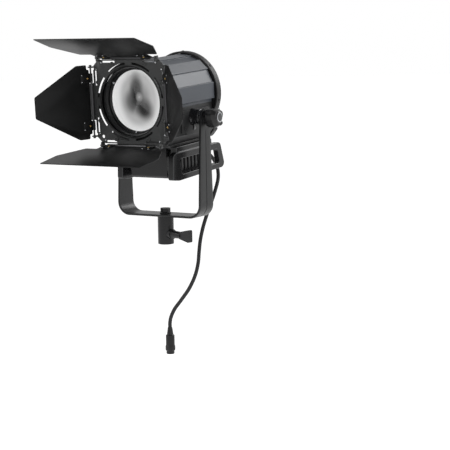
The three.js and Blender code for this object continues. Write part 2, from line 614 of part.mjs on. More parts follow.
const fan = groupAt(head, 0, 0, FAN.z);
place(head, "fan_frame", fanFrame(), FINISH.bodyBlack);
place(groupAt(fan, 0, 66, 0), "fan_rotor", fanRotor(), FINISH.knobBlack);
place(groupAt(fan, 0, PANEL.rear + GAP, 0), "fan_grille", fanGrille(), FINISH.knobBlack);
const windowY = PANEL.rear + GAP;
place(head, "display_window", box(-28, 14, windowY, windowY + 1.6, -11, 5), FINISH.window);
const switchGroup = groupAt(head, SWITCH.x, PANEL.rear + 0.5, SWITCH.z);
switchGroup.rotation.x = radians(SWITCH.rest);
place(switchGroup, "power_switch", rocker(), FINISH.knobBlack);
SOCKETS.forEach((at, i) => {
  const socket = groupAt(head, at.x, 0, at.z);
  place(socket, i === 0 ? "data_socket_in" : "data_socket_out", turned(SOCKET_PROFILE, "y", 20), FINISH.steel);
});

const trayShape = rounded([
  [-TRAY.half, TRAY.front], [TRAY.half, TRAY.front], [TRAY.half, TRAY.rear], [-TRAY.half, TRAY.rear],
], 4);
place(head, "base_tray", alongZ(trayShape, TRAY.bottom, TRAY.top, 3), FINISH.bodyBlack);
place(head, "driver_case", driverCase(), FINISH.bodyBlack);
place(head, "driver_cover", driverCover(), FINISH.bodyBlack);
place(head, "driver_board", driverBoard(), FINISH.board);
place(head, "bumper_rail_right", bumperRail(), FINISH.bodyBlack);
place(head, "bumper_rail_left", bumperRail().mirror([1, 0, 0]), FINISH.bodyBlack);
place(groupAt(head, 22, 0, -78), "cord_gland", cordGland(), FINISH.rubber);

place(optics, "latch_bracket", latchBracket(), FINISH.bodyBlack);
place(optics, "accessory_latch", latchHook(), FINISH.steel);
place(optics, "barndoor_plate", barndoorPlate(), FINISH.plateGrey);
place(optics, "barndoor_ring", barndoorRing(), FINISH.doorBlack);
[["top", 0, WIDE_LEAF], ["right", 90, NARROW_LEAF], ["bottom", 180, WIDE_LEAF], ["left", 270, NARROW_LEAF]]
  .forEach(([side, turn, outline]) => {
    const sideGroup = new THREE.Group();
    sideGroup.rotation.y = radians(turn);
    optics.add(sideGroup);
    const hinge = groupAt(sideGroup, 0, HINGE.y, HINGE.radius);
    place(hinge, `hinge_rod_${side}`, hingeRod(), FINISH.steel);
    const swung = groupAt(hinge, 0, 0, 0);
    swung.rotation.x = -radians(OPEN[side]);
    place(swung, `leaf_${side}`, leaf(outline), FINISH.doorBlack);
  });

place(lamp, "power_cord", cordTube(), FINISH.rubber);
const [endX, endY, endZ] = CORD_ROUTE[CORD_ROUTE.length - 1];
place(groupAt(lamp, endX, endY, endZ - GAP), "cord_connector", cordConnector(), FINISH.knobBlack);

export default lamp;
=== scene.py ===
import json
import math

import bmesh
import bpy
import numpy as np
from bpy.props import FloatProperty, FloatVectorProperty, IntProperty, PointerProperty
from mathutils import Matrix, Vector


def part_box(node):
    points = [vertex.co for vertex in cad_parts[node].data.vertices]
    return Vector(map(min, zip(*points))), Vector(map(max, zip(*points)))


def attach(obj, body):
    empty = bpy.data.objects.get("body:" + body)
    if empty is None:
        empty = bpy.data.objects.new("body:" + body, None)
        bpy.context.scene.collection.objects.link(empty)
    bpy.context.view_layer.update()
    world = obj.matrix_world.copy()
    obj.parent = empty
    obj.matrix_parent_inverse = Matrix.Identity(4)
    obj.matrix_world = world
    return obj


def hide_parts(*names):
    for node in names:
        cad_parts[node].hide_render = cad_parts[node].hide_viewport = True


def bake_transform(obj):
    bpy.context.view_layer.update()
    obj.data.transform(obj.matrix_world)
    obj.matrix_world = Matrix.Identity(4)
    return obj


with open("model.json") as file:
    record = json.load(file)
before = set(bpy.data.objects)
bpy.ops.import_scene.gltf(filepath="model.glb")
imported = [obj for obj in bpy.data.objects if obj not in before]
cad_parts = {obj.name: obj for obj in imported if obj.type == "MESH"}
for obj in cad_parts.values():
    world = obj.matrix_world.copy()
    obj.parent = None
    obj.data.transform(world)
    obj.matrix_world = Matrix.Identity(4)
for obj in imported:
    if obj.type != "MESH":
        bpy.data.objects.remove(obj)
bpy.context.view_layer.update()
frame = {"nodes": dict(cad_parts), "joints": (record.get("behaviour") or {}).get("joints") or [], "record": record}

# Looks of an LED fresnel spotlight with a four-leaf barndoor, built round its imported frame.
# Metres, +Z up, the beam leaves towards -Y. "Head" coordinates have the tilt axis at their origin and
# the optical axis along Y; they differ from the row frame by the head's resting tilt.

bl_info = {
    "name": "Fresnel spotlight",
    "version": (1, 0, 0),
    "blender": (4, 5, 0),
    "location": "3D View > Sidebar > Spotlight",
    "description": "Builds the finished surfaces of a studio fresnel spotlight round its frame",
    "category": "Add Mesh",
}

MM = 0.001
JOINTS = {joint["name"]: joint for joint in frame["joints"]}
NODE_BODY = {
    node: body for body, nodes in frame["record"]["behaviour"]["bodies"].items() for node in nodes
}


# ---- places taken from the frame ----
def head_frame():
    """The head's own axes: Y along the optical axis, the origin on the tilt axis."""
    y = Vector(JOINTS["barndoor_turn"]["axis"]).normalized()
    x = Vector((1, 0, 0))
    turn = Matrix((x, y, x.cross(y))).transposed().to_4x4()
    return Matrix.Translation(JOINTS["head_tilt"]["pos_m"]) @ turn


HEAD = head_frame()
WORLD = Matrix.Identity(4)


def moved(points, matrix):
    """An array of points carried by a matrix: R p + t."""
    m = np.array(matrix)
    return points @ m[:3, :3].T + m[:3, 3]


def vertices_of(node, axes=WORLD):
    """A CAD node's vertices as an array, in the given axes."""
    data = frame["nodes"][node].data
    co = np.empty(len(data.vertices) * 3)
    data.vertices.foreach_get("co", co)
    return moved(co.reshape(-1, 3), axes.inverted())


def span(node, axes=HEAD):
    """Lowest and highest corner of a CAD node in the given axes, the head's unless others are named."""
    co = vertices_of(node, axes)
    return co.min(0), co.max(0)


def centred(low, high):
    """The head's axes moved to the middle of a span, for a piece turned about Y there."""
    return HEAD @ Matrix.Translation(((low[0] + high[0]) / 2, 0, (low[2] + high[2]) / 2))


LENS_LOW, LENS_HIGH = span("fresnel_lens")
OPTIC_Z = (LENS_LOW[2] + LENS_HIGH[2]) / 2
LENS_AXES = HEAD @ Matrix.Translation((0, 0, OPTIC_Z))
TILT_PIVOT = Vector(JOINTS["head_tilt"]["pos_m"])
SIDES = ((1, "right"), (-1, "left"))
HALF_TURN = Matrix.Rotation(math.pi, 4, "X")


# ---- surfaces ----
DOUBLED = 2e-6
SHARP_ANGLE = 38


def in_mm(points):
    """Points written in millimetres, as an array in metres."""
    return np.asarray(points, float) * MM


def soft_corners(points, reach, steps=4):
    """A profile whose inner corners become quadratic curves, each starting `reach` before its corner
    or 40% along a shorter edge: p = (1-t)^2 a + 2t(1-t) corner + t^2 b."""
    p = np.asarray(points, float)
    out = [p[:1]]
    t = np.linspace(0, 1, steps + 1)[:, None]
    for before, corner, after in zip(p[:-2], p[1:-1], p[2:]):
        a, b = before - corner, after - corner
        la, lb = np.linalg.norm(a), np.linalg.norm(b)
        start = corner + a / la * min(reach, 0.4 * la)
        end = corner + b / lb * min(reach, 0.4 * lb)
        out.append((1 - t) ** 2 * start + 2 * t * (1 - t) * corner + t ** 2 * end)
    out.append(p[-1:])
    return np.vstack(out)


def turned(profile, sides=96):
    """A turned surface about Y: the profile gives radius r and height y, and each point goes to
    (r cos a, y, r sin a) for a round the full circle. Rows run along the profile."""
    r, y = np.asarray(profile, float).T
    a = np.linspace(0, 2 * math.pi, sides, endpoint=False)
    return np.stack([r[:, None] * np.cos(a), y[:, None] + 0 * a, r[:, None] * np.sin(a)], -1)


def swept(section, centres, across, up):
    """A section of (u, v) points carried along a path: each goes to centre + u across + v up."""
    u, v = section[..., 0], section[..., 1]
    return centres[:, None] + u[..., None] * across[:, None] + v[..., None] * up[:, None]


def rounded_section(half_width, half_height, radius, steps=3):
    """A rectangle with quarter-round corners as a closed loop of (u, v) points."""
    a = np.linspace(0, math.pi / 2, steps + 1)
    quarter = np.stack([np.cos(a), np.sin(a)], -1) * radius
    signs = [(1, 1), (-1, 1), (-1, -1), (1, -1)]
    arcs = []
    for i, (su, sv) in enumerate(signs):
        arc = quarter * (su, sv)
        centre = np.array([su * (half_width - radius), sv * (half_height - radius)])
        arcs.append(centre + (arc if i % 2 == 0 else arc[::-1]))
    return np.vstack(arcs)


def slab(loop, centre, levels):
    """A flat piece over a (u, v) loop: at each (share, height) of its levels, in millimetres of height,
    the loop shrinks to that share about the centre, so a share of 0 closes an end."""
    return np.stack([np.insert(centre + loop * share, 1, height * MM, axis=1) for share, height in levels])


def grid_faces(rows, columns, close_rows, first):
    """Quads over a grid of points whose columns run round, and whose rows do too where they close."""
    i = np.arange(rows if close_rows else rows - 1)[:, None]
    j = np.arange(columns)[None, :]
    i2, j2 = (i + 1) % rows, (j + 1) % columns
    quad = np.stack([i * columns + j, i2 * columns + j, i2 * columns + j2, i * columns + j2], -1)
    return quad.reshape(-1, 4) + first


def grid_mesh(name, grids, axes=WORLD, close_rows=False):
    """A mesh over one or more point grids of rows by columns, placed by `axes`."""
    points, faces, total = [], [], 0
    for grid in grids:
        rows, columns = grid.shape[:2]
        faces.append(grid_faces(rows, columns, close_rows, total))
        points.append(moved(grid.reshape(-1, 3), axes))
        total += rows * columns
    data = bpy.data.meshes.new(name)
    data.from_pydata(np.vstack(points).tolist(), [], np.vstack(faces).tolist())
    return data


def new_object(name, data):
    """An object in the scene that shows a mesh, a light or a camera."""
    made = bpy.data.objects.new(name, data)
    bpy.context.scene.collection.objects.link(made)
    return made


def shaded(data, materials, sharp):
    """Gives a mesh its materials and smooths all but the edges sharper than `sharp` degrees."""
    for material in materials:
        data.materials.append(material)
    data.polygons.foreach_set("use_smooth", np.ones(len(data.polygons), bool))
    data.set_sharp_from_angle(angle=math.radians(sharp))


def finish_mesh(data, material):
    """Joins doubled points, closes flat ends, turns faces outwards and smooths all but sharp edges."""
    work = bmesh.new()
    work.from_mesh(data)
    bmesh.ops.remove_doubles(work, verts=work.verts, dist=DOUBLED)
    open_edges = [edge for edge in work.edges if edge.is_boundary]
    if open_edges:
        bmesh.ops.holes_fill(work, edges=open_edges, sides=0)
    bmesh.ops.recalc_face_normals(work, faces=work.faces)
    work.to_mesh(data)
    work.free()
    shaded(data, [material], SHARP_ANGLE)


def piece(name, grids, body, finish, axes=WORLD, close_rows=False, nodes=(), slot=None):
    """One finished piece over point grids. It takes the place of its nodes, whose CAD parts it hides; its slot
    argument is not used.
    """
    data = grid_mesh(name, grids, axes, close_rows)
    finish_mesh(data, FINISHES[finish])
    made = new_object(name, data)
    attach(made, body)
    if nodes:
        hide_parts(*nodes)
    return made


def turned_piece(name, profile, soften, sides, *where, **stands_for):
    """A piece turned from one profile, whose corners are softened over `soften` millimetres."""
    piece(name, [turned(soft_corners(profile, soften * MM), sides)], *where, **stands_for)


def refined(node, name, finish, edge=None, bevel=0.6 * MM, segments=2, angle=32, join=True):
    """A CAD node's own shape with its edges rounded over, and finished as `edge` where that is given. Its
    flat faces are joined up first, except on a sheet with holes (join off), where that would bridge them."""
    data = frame["nodes"][node].data.copy()
    data.name = name
    data.materials.clear()
    work = bmesh.new()
    work.from_mesh(data)
    bmesh.ops.remove_doubles(work, verts=work.verts, dist=DOUBLED)
    if join:
        bmesh.ops.dissolve_limit(
            work, angle_limit=math.radians(1), verts=work.verts, edges=work.edges, delimit={"NORMAL"}
        )
    work.to_mesh(data)
    work.free()
    shaded(data, [FINISHES[one] for one in (finish, edge) if one], angle)
    made = new_object(name, data)
    round_over = made.modifiers.new("rounded edges", "BEVEL")
    round_over.width = bevel
    round_over.segments = segments
    round_over.limit_method = "ANGLE"
    round_over.angle_limit = math.radians(angle)
    round_over.harden_normals = True
    # the bevel faces take the edge finish, painted lighter: partly wear, partly a painted highlight
    round_over.material = 1 if edge else -1
    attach(made, NODE_BODY[node])
    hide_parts(node)
    return made


def aligned(origin, axis, side=(0, 0, 1)):
    """Axes whose Y is `axis`, for a turned piece that stands on `origin`."""
    y = Vector(axis).normalized()
    x = Vector(side).cross(y)
    x = x.normalized() if x.length > 0.01 else Vector((1, 0, 0)).cross(y).normalized()
    turn = Matrix((x, y, x.cross(y))).transposed().to_4x4()
    return Matrix.Translation(origin) @ turn


def tilt_end(side):
    """Axes on the tilt axis whose Y points out of one side, 1 for the right and -1 for the left."""
    return aligned((0, 0, TILT_PIVOT.z), (side, 0, 0))


def screw(radius, height, sides=24, recess=0.5):
    """A pan head with a socket in it, sized in millimetres, standing on y = 0 and facing +Y."""
    r, h = radius * MM, height * MM
    profile = [(0, -0.4 * h), (r, -0.4 * h), (r, 0.55 * h), (0.75 * r, h), (recess * r, h),
               (recess * r * 0.9, 0.35 * h), (0, 0.35 * h)]
    return turned(soft_corners(profile, 0.2 * h, 3), sides)


# ---- finishes ----
def node_group(name, inputs, outputs):
    """An empty shader group with the named float inputs and the named outputs."""
    group = bpy.data.node_groups.new(name, "ShaderNodeTree")
    for label, default in inputs:
        socket = group.interface.new_socket(label, in_out="INPUT", socket_type="NodeSocketFloat")
        socket.default_value = default
    for label in outputs:
        group.interface.new_socket(label, in_out="OUTPUT", socket_type="NodeSocketFloat")
    return group, group.nodes.new("NodeGroupInput"), group.nodes.new("NodeGroupOutput")


def feed(tree, socket, value):
    """Gives an input socket a fixed value, or links it to another node's socket."""
    if isinstance(value, bpy.types.NodeSocket):
        tree.links.new(value, socket)
    else:
        socket.default_value = value


def set_inputs(tree, node, values):
    """Feeds a node's inputs by their labels."""
    for label, value in values.items():
        feed(tree, node.inputs[label], value)


def maths(tree, operation, *values, kind="ShaderNodeMath", result=0):
    """A maths node over values or sockets."""
    node = tree.nodes.new(kind)
    node.operation = operation
    for socket, value in zip(node.inputs, values):
        feed(tree, socket, value)
    return node.outputs[result]


def noise_node(tree, scale, detail, where, roughness=0.55):
    """Noise on the given coordinates, at a fixed scale or at a group's own."""
    node = tree.nodes.new("ShaderNodeTexNoise")
    set_inputs(tree, node, {"Detail": detail, "Roughness": roughness, "Scale": scale, "Vector": where})
    return node.outputs["Fac"]


def surface_grain_group():
    """Fine paint or moulding grain: a height for bump, and a roughness that drifts in slow patches."""
    inputs = [("Grain Scale", 900.0), ("Patch Scale", 14.0), ("Roughness", 0.45), ("Drift", 0.1)]
    group, given, out = node_group("surface grain", inputs, ["Height", "Roughness"])
    where = group.nodes.new("ShaderNodeTexCoord").outputs["Object"]
    fine = noise_node(group, given.outputs["Grain Scale"], 3, where)
    patch = noise_node(group, given.outputs["Patch Scale"], 4, where)
    drift = maths(group, "MULTIPLY", maths(group, "SUBTRACT", patch, 0.5), given.outputs["Drift"])
    speck = maths(group, "MULTIPLY", maths(group, "SUBTRACT", fine, 0.5), given.outputs["Drift"])
    rough = maths(group, "ADD", given.outputs["Roughness"], maths(group, "ADD", drift, speck))
    group.links.new(fine, out.inputs["Height"])
    group.links.new(rough, out.inputs["Roughness"])
    return group


def dust_mask_group():
    """Where faint dust and handling marks lie: slow cloudy patches cut by fine streaks, 0 to Amount."""
    group, given, out = node_group("dust mask", [("Scale", 22.0), ("Amount", 0.2)], ["Mask"])
    where = group.nodes.new("ShaderNodeTexCoord").outputs["Object"]
    cloud = noise_node(group, given.outputs["Scale"], 6, where, 0.65)
    fine = noise_node(group, 320.0, 2, where)
    patch = group.nodes.new("ShaderNodeMapRange")
    set_inputs(group, patch, {"From Min": 0.48, "From Max": 0.72, "Value": cloud})
    streaks = maths(group, "MULTIPLY", fine, given.outputs["Amount"])
    mask = maths(group, "MULTIPLY", patch.outputs[0], streaks)
    group.links.new(mask, out.inputs["Mask"])
    return group


def new_material(name):
    """A node material, with its tree and its shader."""
    material = bpy.data.materials.new(name)
    material.use_nodes = True
    return material, material.node_tree, material.node_tree.nodes["Principled BSDF"]


def placed_group(tree, name, values):
    """A shader group placed in a material with its own values."""
    node = tree.nodes.new("ShaderNodeGroup")
    node.node_tree = bpy.data.node_groups[name]
    set_inputs(tree, node, values)
    return node


def mixed(tree, share, first, second, kind="MIX"):
    """A colour mix of two colours or sockets."""
    node = tree.nodes.new("ShaderNodeMix")
    node.data_type = "RGBA"
    node.blend_type = kind
    for place, value in ((0, share), (6, first), (7, second)):
        feed(tree, node.inputs[place], value)
    return node.outputs[2]


def coloured(name, colour, rough, metallic, grain, bump, dust, drift, coat, shine):
    """A painted, moulded or bare metal finish: grain in its bump and roughness, dust in its colour."""
    material, tree, shader = new_material(name)
    texture = placed_group(tree, "surface grain", {"Grain Scale": grain, "Roughness": rough, "Drift": drift})
    marks = placed_group(tree, "dust mask", {"Amount": dust})
    dusty = [min(1, 0.8 * c + 0.07) for c in colour]
    relief = tree.nodes.new("ShaderNodeBump")
    set_inputs(tree, relief, {"Strength": bump, "Distance": 0.4 * MM, "Height": texture.outputs["Height"]})
    set_inputs(tree, shader, {
        "Metallic": metallic,
        "Specular IOR Level": 0.5 if metallic else shine,
        "Coat Weight": coat,
        "Coat Roughness": 0.12,
        "Base Color": mixed(tree, marks.outputs["Mask"], (*colour, 1), (*dusty, 1)),
        "Roughness": texture.outputs["Roughness"],
        "Normal": relief.outputs["Normal"],
    })
    return material


def ramp(tree, value, stops):
    """A smooth colour ramp over (position, grey) stops."""
    node = tree.nodes.new("ShaderNodeValToRGB")
    node.color_ramp.interpolation = "EASE"
    elements = node.color_ramp.elements
    while len(elements) < len(stops):
        elements.new(0.5)
    for element, (place, grey) in zip(elements, stops):
        element.position = place
        element.color = (grey, grey, grey, 1)
    tree.links.new(value, node.inputs[0])
    return node.outputs[0]


def lens_finish():
    """Frosted pressed glass with painted light: a brighter rim over a darker core painted as the shaded inside,
    dark lobes painted as reflections, a painted glint near the centre, and a weak glow of that painted colour.
    """
    material, tree, shader = new_material("frosted lens glass")
    where = tree.nodes.new("ShaderNodeTexCoord").outputs["Object"]
    front, reach = LENS_LOW[1], 0.06

    def lobe(x, z, narrow, low, stops):
        """A ramp over an ellipse's distance from (x, z) on the lens: |(p - c) * (narrow, 0, low)| / reach."""
        centre = HEAD @ Vector((x, front, OPTIC_Z + z))
        gap = maths(tree, "SUBTRACT", where, centre, kind="ShaderNodeVectorMath")
        scale = (narrow / reach, 0, low / reach)
        scaled = maths(tree, "MULTIPLY", gap, scale, kind="ShaderNodeVectorMath")
        return ramp(tree, maths(tree, "LENGTH", scaled, kind="ShaderNodeVectorMath", result="Value"), stops)

    def times(first, second):
        return mixed(tree, 1, first, second, "MULTIPLY")

    # painted light and shade: the rim painted bright, the core painted darker as the shaded inside
    painted_rim_and_core = lobe(0.002, 0.003, 1.1, 0.9, [(0, 0.26), (0.3, 0.36), (0.58, 0.55), (0.85, 0.9), (1, 1)])
    # upper, lower, left and middle are dark lobes painted as reflections on the lens
    upper = lobe(-0.002, 0.022, 1.5, 0.8, [(0, 0.05), (0.12, 0.12), (0.46, 1)])
    lower = lobe(0.014, -0.016, 1.0, 0.95, [(0, 0.02), (0.1, 0.08), (0.4, 1)])
    left = lobe(-0.011, -0.003, 1.0, 0.9, [(0, 0.3), (0.12, 0.4), (0.42, 1)])
    middle = lobe(0.004, 0.0, 0.9, 0.8, [(0, 0.35), (0.36, 1), (1, 1)])
    # a painted glint just above the centre
    painted_glint = lobe(0.003, 0.006, 0.9, 0.8, [(0, 0.36), (0.05, 0.2), (0.14, 0)])
    # dark holds all the lobes painted as reflections
    dark = times(times(upper, lower), times(left, middle))
    painted_lens_light = mixed(tree, 1, times(painted_rim_and_core, dark), painted_glint, "ADD")
    grain = placed_group(tree, "surface grain", {"Grain Scale": 500, "Roughness": 0.2, "Drift": 0.06})
    # the painted light and reflections are the base colour and also glow as a weak emission
    set_inputs(tree, shader, {
        "Base Color": painted_lens_light,
        "Emission Color": painted_lens_light,
        "Emission Strength": 0.22,
        "Roughness": grain.outputs["Roughness"],
        "Transmission Weight": 0.12,
        "Coat Weight": 0.6,
        "Coat Roughness": 0.06,
        "IOR": 1.5,
    })
    return material


FINISHES = {}
# edges painted 3.2 times lighter than the castings: partly real wear, partly a painted highlight where bevels
# catch light
EDGE_WEAR_AND_HIGHLIGHT = 3.2
DOOR_SHINE, OTHER_SHINE = 0.2, 0.3


def make_finishes(colours):
    """Every finish on the lamp, once."""
    surface_grain_group()
    dust_mask_group()
    worn_and_highlit = tuple(EDGE_WEAR_AND_HIGHLIGHT * c for c in colours.casting)
    # colour, roughness, metallic, grain scale, bump, dust, drift of the roughness, coat
    table = {
        "powder black": (colours.yoke, 0.38, 0.0, 1100.0, 0.10, 0.12, 0.10, 0.0),
        "receiver black": (colours.knobs, 0.2, 0.0, 900.0, 0.04, 0.05, 0.08, 0.0),
        "dark oxide": ((0.05, 0.05, 0.052), 0.34, 0.7, 1200.0, 0.05, 0.06, 0.1, 0.0),
        "box black": (colours.knobs, 0.24, 0.0, 800.0, 0.04, 0.06, 0.08, 0.0),
        "door black": (colours.doors, 0.46, 0.0, 1300.0, 0.07, 0.08, 0.08, 0.0),
        "plate grey": (colours.plate, 0.42, 0.0, 1200.0, 0.07, 0.14, 0.10, 0.0),
        "cover paint": (colours.cover, 0.42, 0.0, 1500.0, 0.05, 0.06, 0.08, 0.0),
        "cast black": (colours.casting, 0.5, 0.0, 800.0, 0.16, 0.14, 0.12, 0.0),
        # edge finish: lighter colour that is partly wear and partly a painted highlight
        "cast edge wear and highlight": (worn_and_highlit, 0.34, 0.0, 800.0, 0.08, 0.2, 0.12, 0.0),
        "moulded black": (colours.knobs, 0.36, 0.0, 700.0, 0.08, 0.12, 0.12, 0.0),
        "gloss black": ((0.008, 0.008, 0.009), 0.12, 0.0, 500.0, 0.02, 0.08, 0.04, 0.4),
        "soft rubber": ((0.013, 0.013, 0.014), 0.6, 0.0, 1500.0, 0.12, 0.2, 0.12, 0.0),
        "zinc steel": ((0.56, 0.57, 0.59), 0.26, 1.0, 1400.0, 0.05, 0.1, 0.14, 0.0),
        "plain aluminium": ((0.6, 0.61, 0.63), 0.34, 1.0, 1200.0, 0.05, 0.1, 0.14, 0.0),
        "turned brass": ((0.62, 0.42, 0.16), 0.28, 1.0, 1200.0, 0.04, 0.1, 0.12, 0.0),
        "grey moulding": ((0.42, 0.43, 0.44), 0.38, 0.0, 900.0, 0.06, 0.1, 0.1, 0.0),
        "board green": ((0.02, 0.11, 0.05), 0.35, 0.0, 600.0, 0.1, 0.1, 0.1, 0.3),
        "yellow phosphor": ((0.8, 0.66, 0.16), 0.4, 0.0, 900.0, 0.03, 0.0, 0.05, 0.3),
    }
    for name, (colour, *values) in table.items():
        shine = DOOR_SHINE if name == "door black" else OTHER_SHINE
        FINISHES[name] = coloured(name, tuple(colour), *values, shine)
    FINISHES["lens glass"] = lens_finish()


# ---- sizes and colours a user may change ----
def length(name, description, default, least, most):
    """A length a user may change, given in millimetres."""
    return FloatProperty(name=name, description=description, default=default * MM,
                         min=least * MM, max=most * MM, unit="LENGTH")


def paint(name, description, colour):
    """A colour a user may change."""
    return FloatVectorProperty(name=name, description=description, default=colour,
                               min=0, max=1, subtype="COLOR")


class LampSizes(bpy.types.PropertyGroup):
    """Sizes of the finished surfaces"""
    edge: length("Edge", "Rounding of sheet and casting edges", 0.6, 0.1, 2)
    rail_edge: length("Rail edge", "Rounding of the bumper rails", 2.2, 0.5, 4)
    cord: length("Cord", "Cord diameter", 7, 4, 9)
    lens_zones: IntProperty(name="Lens zones", description="Steps in the fresnel lens",
                            default=24, min=4, max=60)


class LampColours(bpy.types.PropertyGroup):
    """Colours of the painted and moulded finishes"""
    cover: paint("Cover", "Paint of the top cover", (0.050, 0.056, 0.066))
    yoke: paint("Yoke", "Powder coat of the yoke", (0.008, 0.0084, 0.0088))
    doors: paint("Doors", "Paint of the barndoor leaves", (0.004, 0.0042, 0.0044))
    plate: paint("Plate", "Paint of the barndoor plate", (0.034, 0.035, 0.035))
    casting: paint("Castings", "Housing and rails", (0.009, 0.0092, 0.0096))
    knobs: paint("Knobs", "Moulded knobs and handles", (0.006, 0.006, 0.0065))


# ---- operators ----
class LAMP_OT_finishes(bpy.types.Operator):
    """Make every finish and give it to the parts that keep their frame shape"""
    bl_idname = "lamp.finishes"
    bl_label = "Finishes"

    def execute(self, context):
        make_finishes(context.scene.lamp_colours)
        kept = {
            "zinc steel": ["guide_rod_left", "guide_rod_right", "lead_screw", "tilt_lock_screw"],
            "plain aluminium": ["heat_sink"],
            "turned brass": ["carriage_nut"],
            "board green": ["led_board", "driver_board"],
            "yellow phosphor": ["led_emitter"],
            "moulded black": ["fan_rotor"],
            "cast black": ["rear_bulkhead", "fan_frame"],
        }
        for finish, nodes in kept.items():
            for node in nodes:
                data = frame["nodes"][node].data
                data.materials.clear()
                data.materials.append(FINISHES[finish])
        return {"FINISHED"}


class LAMP_OT_yoke(bpy.types.Operator):
    """Bent strap yoke with its lengthwise crease, its bolt and the receiver tube below it"""
    bl_idname = "lamp.yoke"
    bl_label = "Yoke and receiver"

    def execute(self, context):
        pivot = TILT_PIVOT
        low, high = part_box("yoke_bracket")
        bar, bend, crease, tip = 4 * MM, 24 * MM, 0.7 * MM, 15 * MM
        half, middle = high.x - bar / 2, bend - bar / 2
        wide, taper_from, crease_end = high.y, 80 * MM, pivot.z - 24 * MM
        # half the path: up one arm to its round end, and round the bend at its foot
        round_end = high.z - tip * (1 - np.sin(np.linspace(0.08, math.pi / 2 - 0.02, 14)))
        rise = np.concatenate([np.linspace(low.z + bend, pivot.z, 24), round_end])
        corner = np.linspace(0.06, math.pi / 2, 12, endpoint=False)
        arm = np.stack([np.full(rise.size, half), rise], -1)
        curve_x, curve_z = middle * np.cos(corner), middle * np.sin(corner)
        turn = np.stack([half - middle + curve_x, low.z + bend - curve_z], -1)
        right = np.vstack([arm[::-1], turn])
        run = np.linspace(half - middle, middle - half, 20)
        foot = np.stack([run, np.full(20, low.z + bar / 2)], -1)
        path = np.vstack([right, foot, (right * (-1, 1))[::-1]])
        along = np.gradient(path, axis=0)
        along /= np.linalg.norm(along, axis=1)[:, None]
        outward = np.stack([-along[:, 1], np.zeros(len(path)), along[:, 0]], -1)
        # normals are turned to point away from the middle of the yoke
        outward *= np.where((outward[:, :1] * path[:, :1] - outward[:, 2:] * 0.2) < 0, -1, 1)
        # half width: straight, a taper up to the pivot, then a half circle sqrt(tip^2 - (z - pivot)^2)
        z = path[:, 1]
        straight = np.interp(z, [taper_from, pivot.z], [wide, tip])
        rounded = np.sqrt(np.maximum(tip ** 2 - np.maximum(z - pivot.z, 0) ** 2, 1e-8))
        width = np.where(z > pivot.z, rounded, straight)
        groove = np.where(z > crease_end, 0, crease)
        # the section: shares of the half width and of the thickness, with the crease at its middle
        u = np.array([1, 1, 0.97, 0.9, 0.5, 0.08, 0.045, 0.03, -0.03, -0.045, -0.08, -0.5, -0.9, -0.97, -1,
                      -1, -0.97, -0.5, 0, 0.5, 0.97])
        v = np.array([-0.3, 0.3, 0.46, 0.5, 0.5, 0.5, 0.5, 0.5, 0.5, 0.5, 0.5, 0.5, 0.5, 0.46, 0.3, -0.3,
                      -0.5, -0.5, -0.5, -0.5, -0.5])
        dip = (np.abs(u) < 0.04) & (v > 0)
        grid_u = width[:, None] * u
        grid_v = bar * v - groove[:, None] * dip
        centres = np.stack([path[:, 0], np.zeros(len(path)), path[:, 1]], -1)
        sweep = np.tile(np.array([0.0, 1.0, 0.0]), (len(path), 1))
        grid = centres[:, None] + grid_u[..., None] * sweep[:, None] + grid_v[..., None] * outward[:, None]
        piece("yoke_strap", [grid], "yoke", "powder black", nodes=["yoke_bracket"])
        refined("yoke_bolt", "yoke_bolt_head", "moulded black", bevel=0.5 * MM, segments=3)
        self.receiver()
        for side, name in SIDES:
            a, b = span(f"tilt_washer_{name}", WORLD)
            inner, outer = 5.4 * MM, b[1]
            ends = sorted([abs(a[0]), abs(b[0])])
            ring = [(inner, ends[0]), (outer, ends[0]), (outer, ends[1]), (inner, ends[1]), (inner, ends[0])]
            turned_piece(f"friction_washer_{name}", ring, 0.3, 96, "yoke", "zinc steel", tilt_end(side),
                         nodes=[f"tilt_washer_{name}"])
        return {"FINISHED"}

    def receiver(self):
        """The stand tube, bored from below, and the boss its locking screw runs in."""
        low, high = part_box("receiver_sleeve")
        r, bore, depth, rim = -low.x, 8.1 * MM, 42 * MM, 0.8 * MM
        profile = [(bore, 0), (r - rim, 0), (r, rim), (r, high.z - rim), (r - rim, high.z), (0, high.z)]
        inside = [(0, depth), (bore, depth), (bore, 0)]
        shape = np.vstack([soft_corners(inside, 0.3 * MM), soft_corners(profile, 0.6 * MM)[1:]])
        up = aligned((0, 0, 0), (0, 0, 1), (0, 1, 0))
        tube = "receiver black"
        piece("receiver_tube", [turned(shape)], "yoke", tube, up, nodes=["receiver_sleeve"])
        lock = JOINTS["spigot_lock_turn"]
        boss = in_mm([(0, 11), (9.5, 11), (9.5, 19), (4.2, 19), (4.2, 12), (0, 12)])
        turned_piece("lock_boss", boss, 0.7, 64, "yoke", tube, aligned(lock["pos_m"], lock["axis"]),
                     slot="yoke_paint")


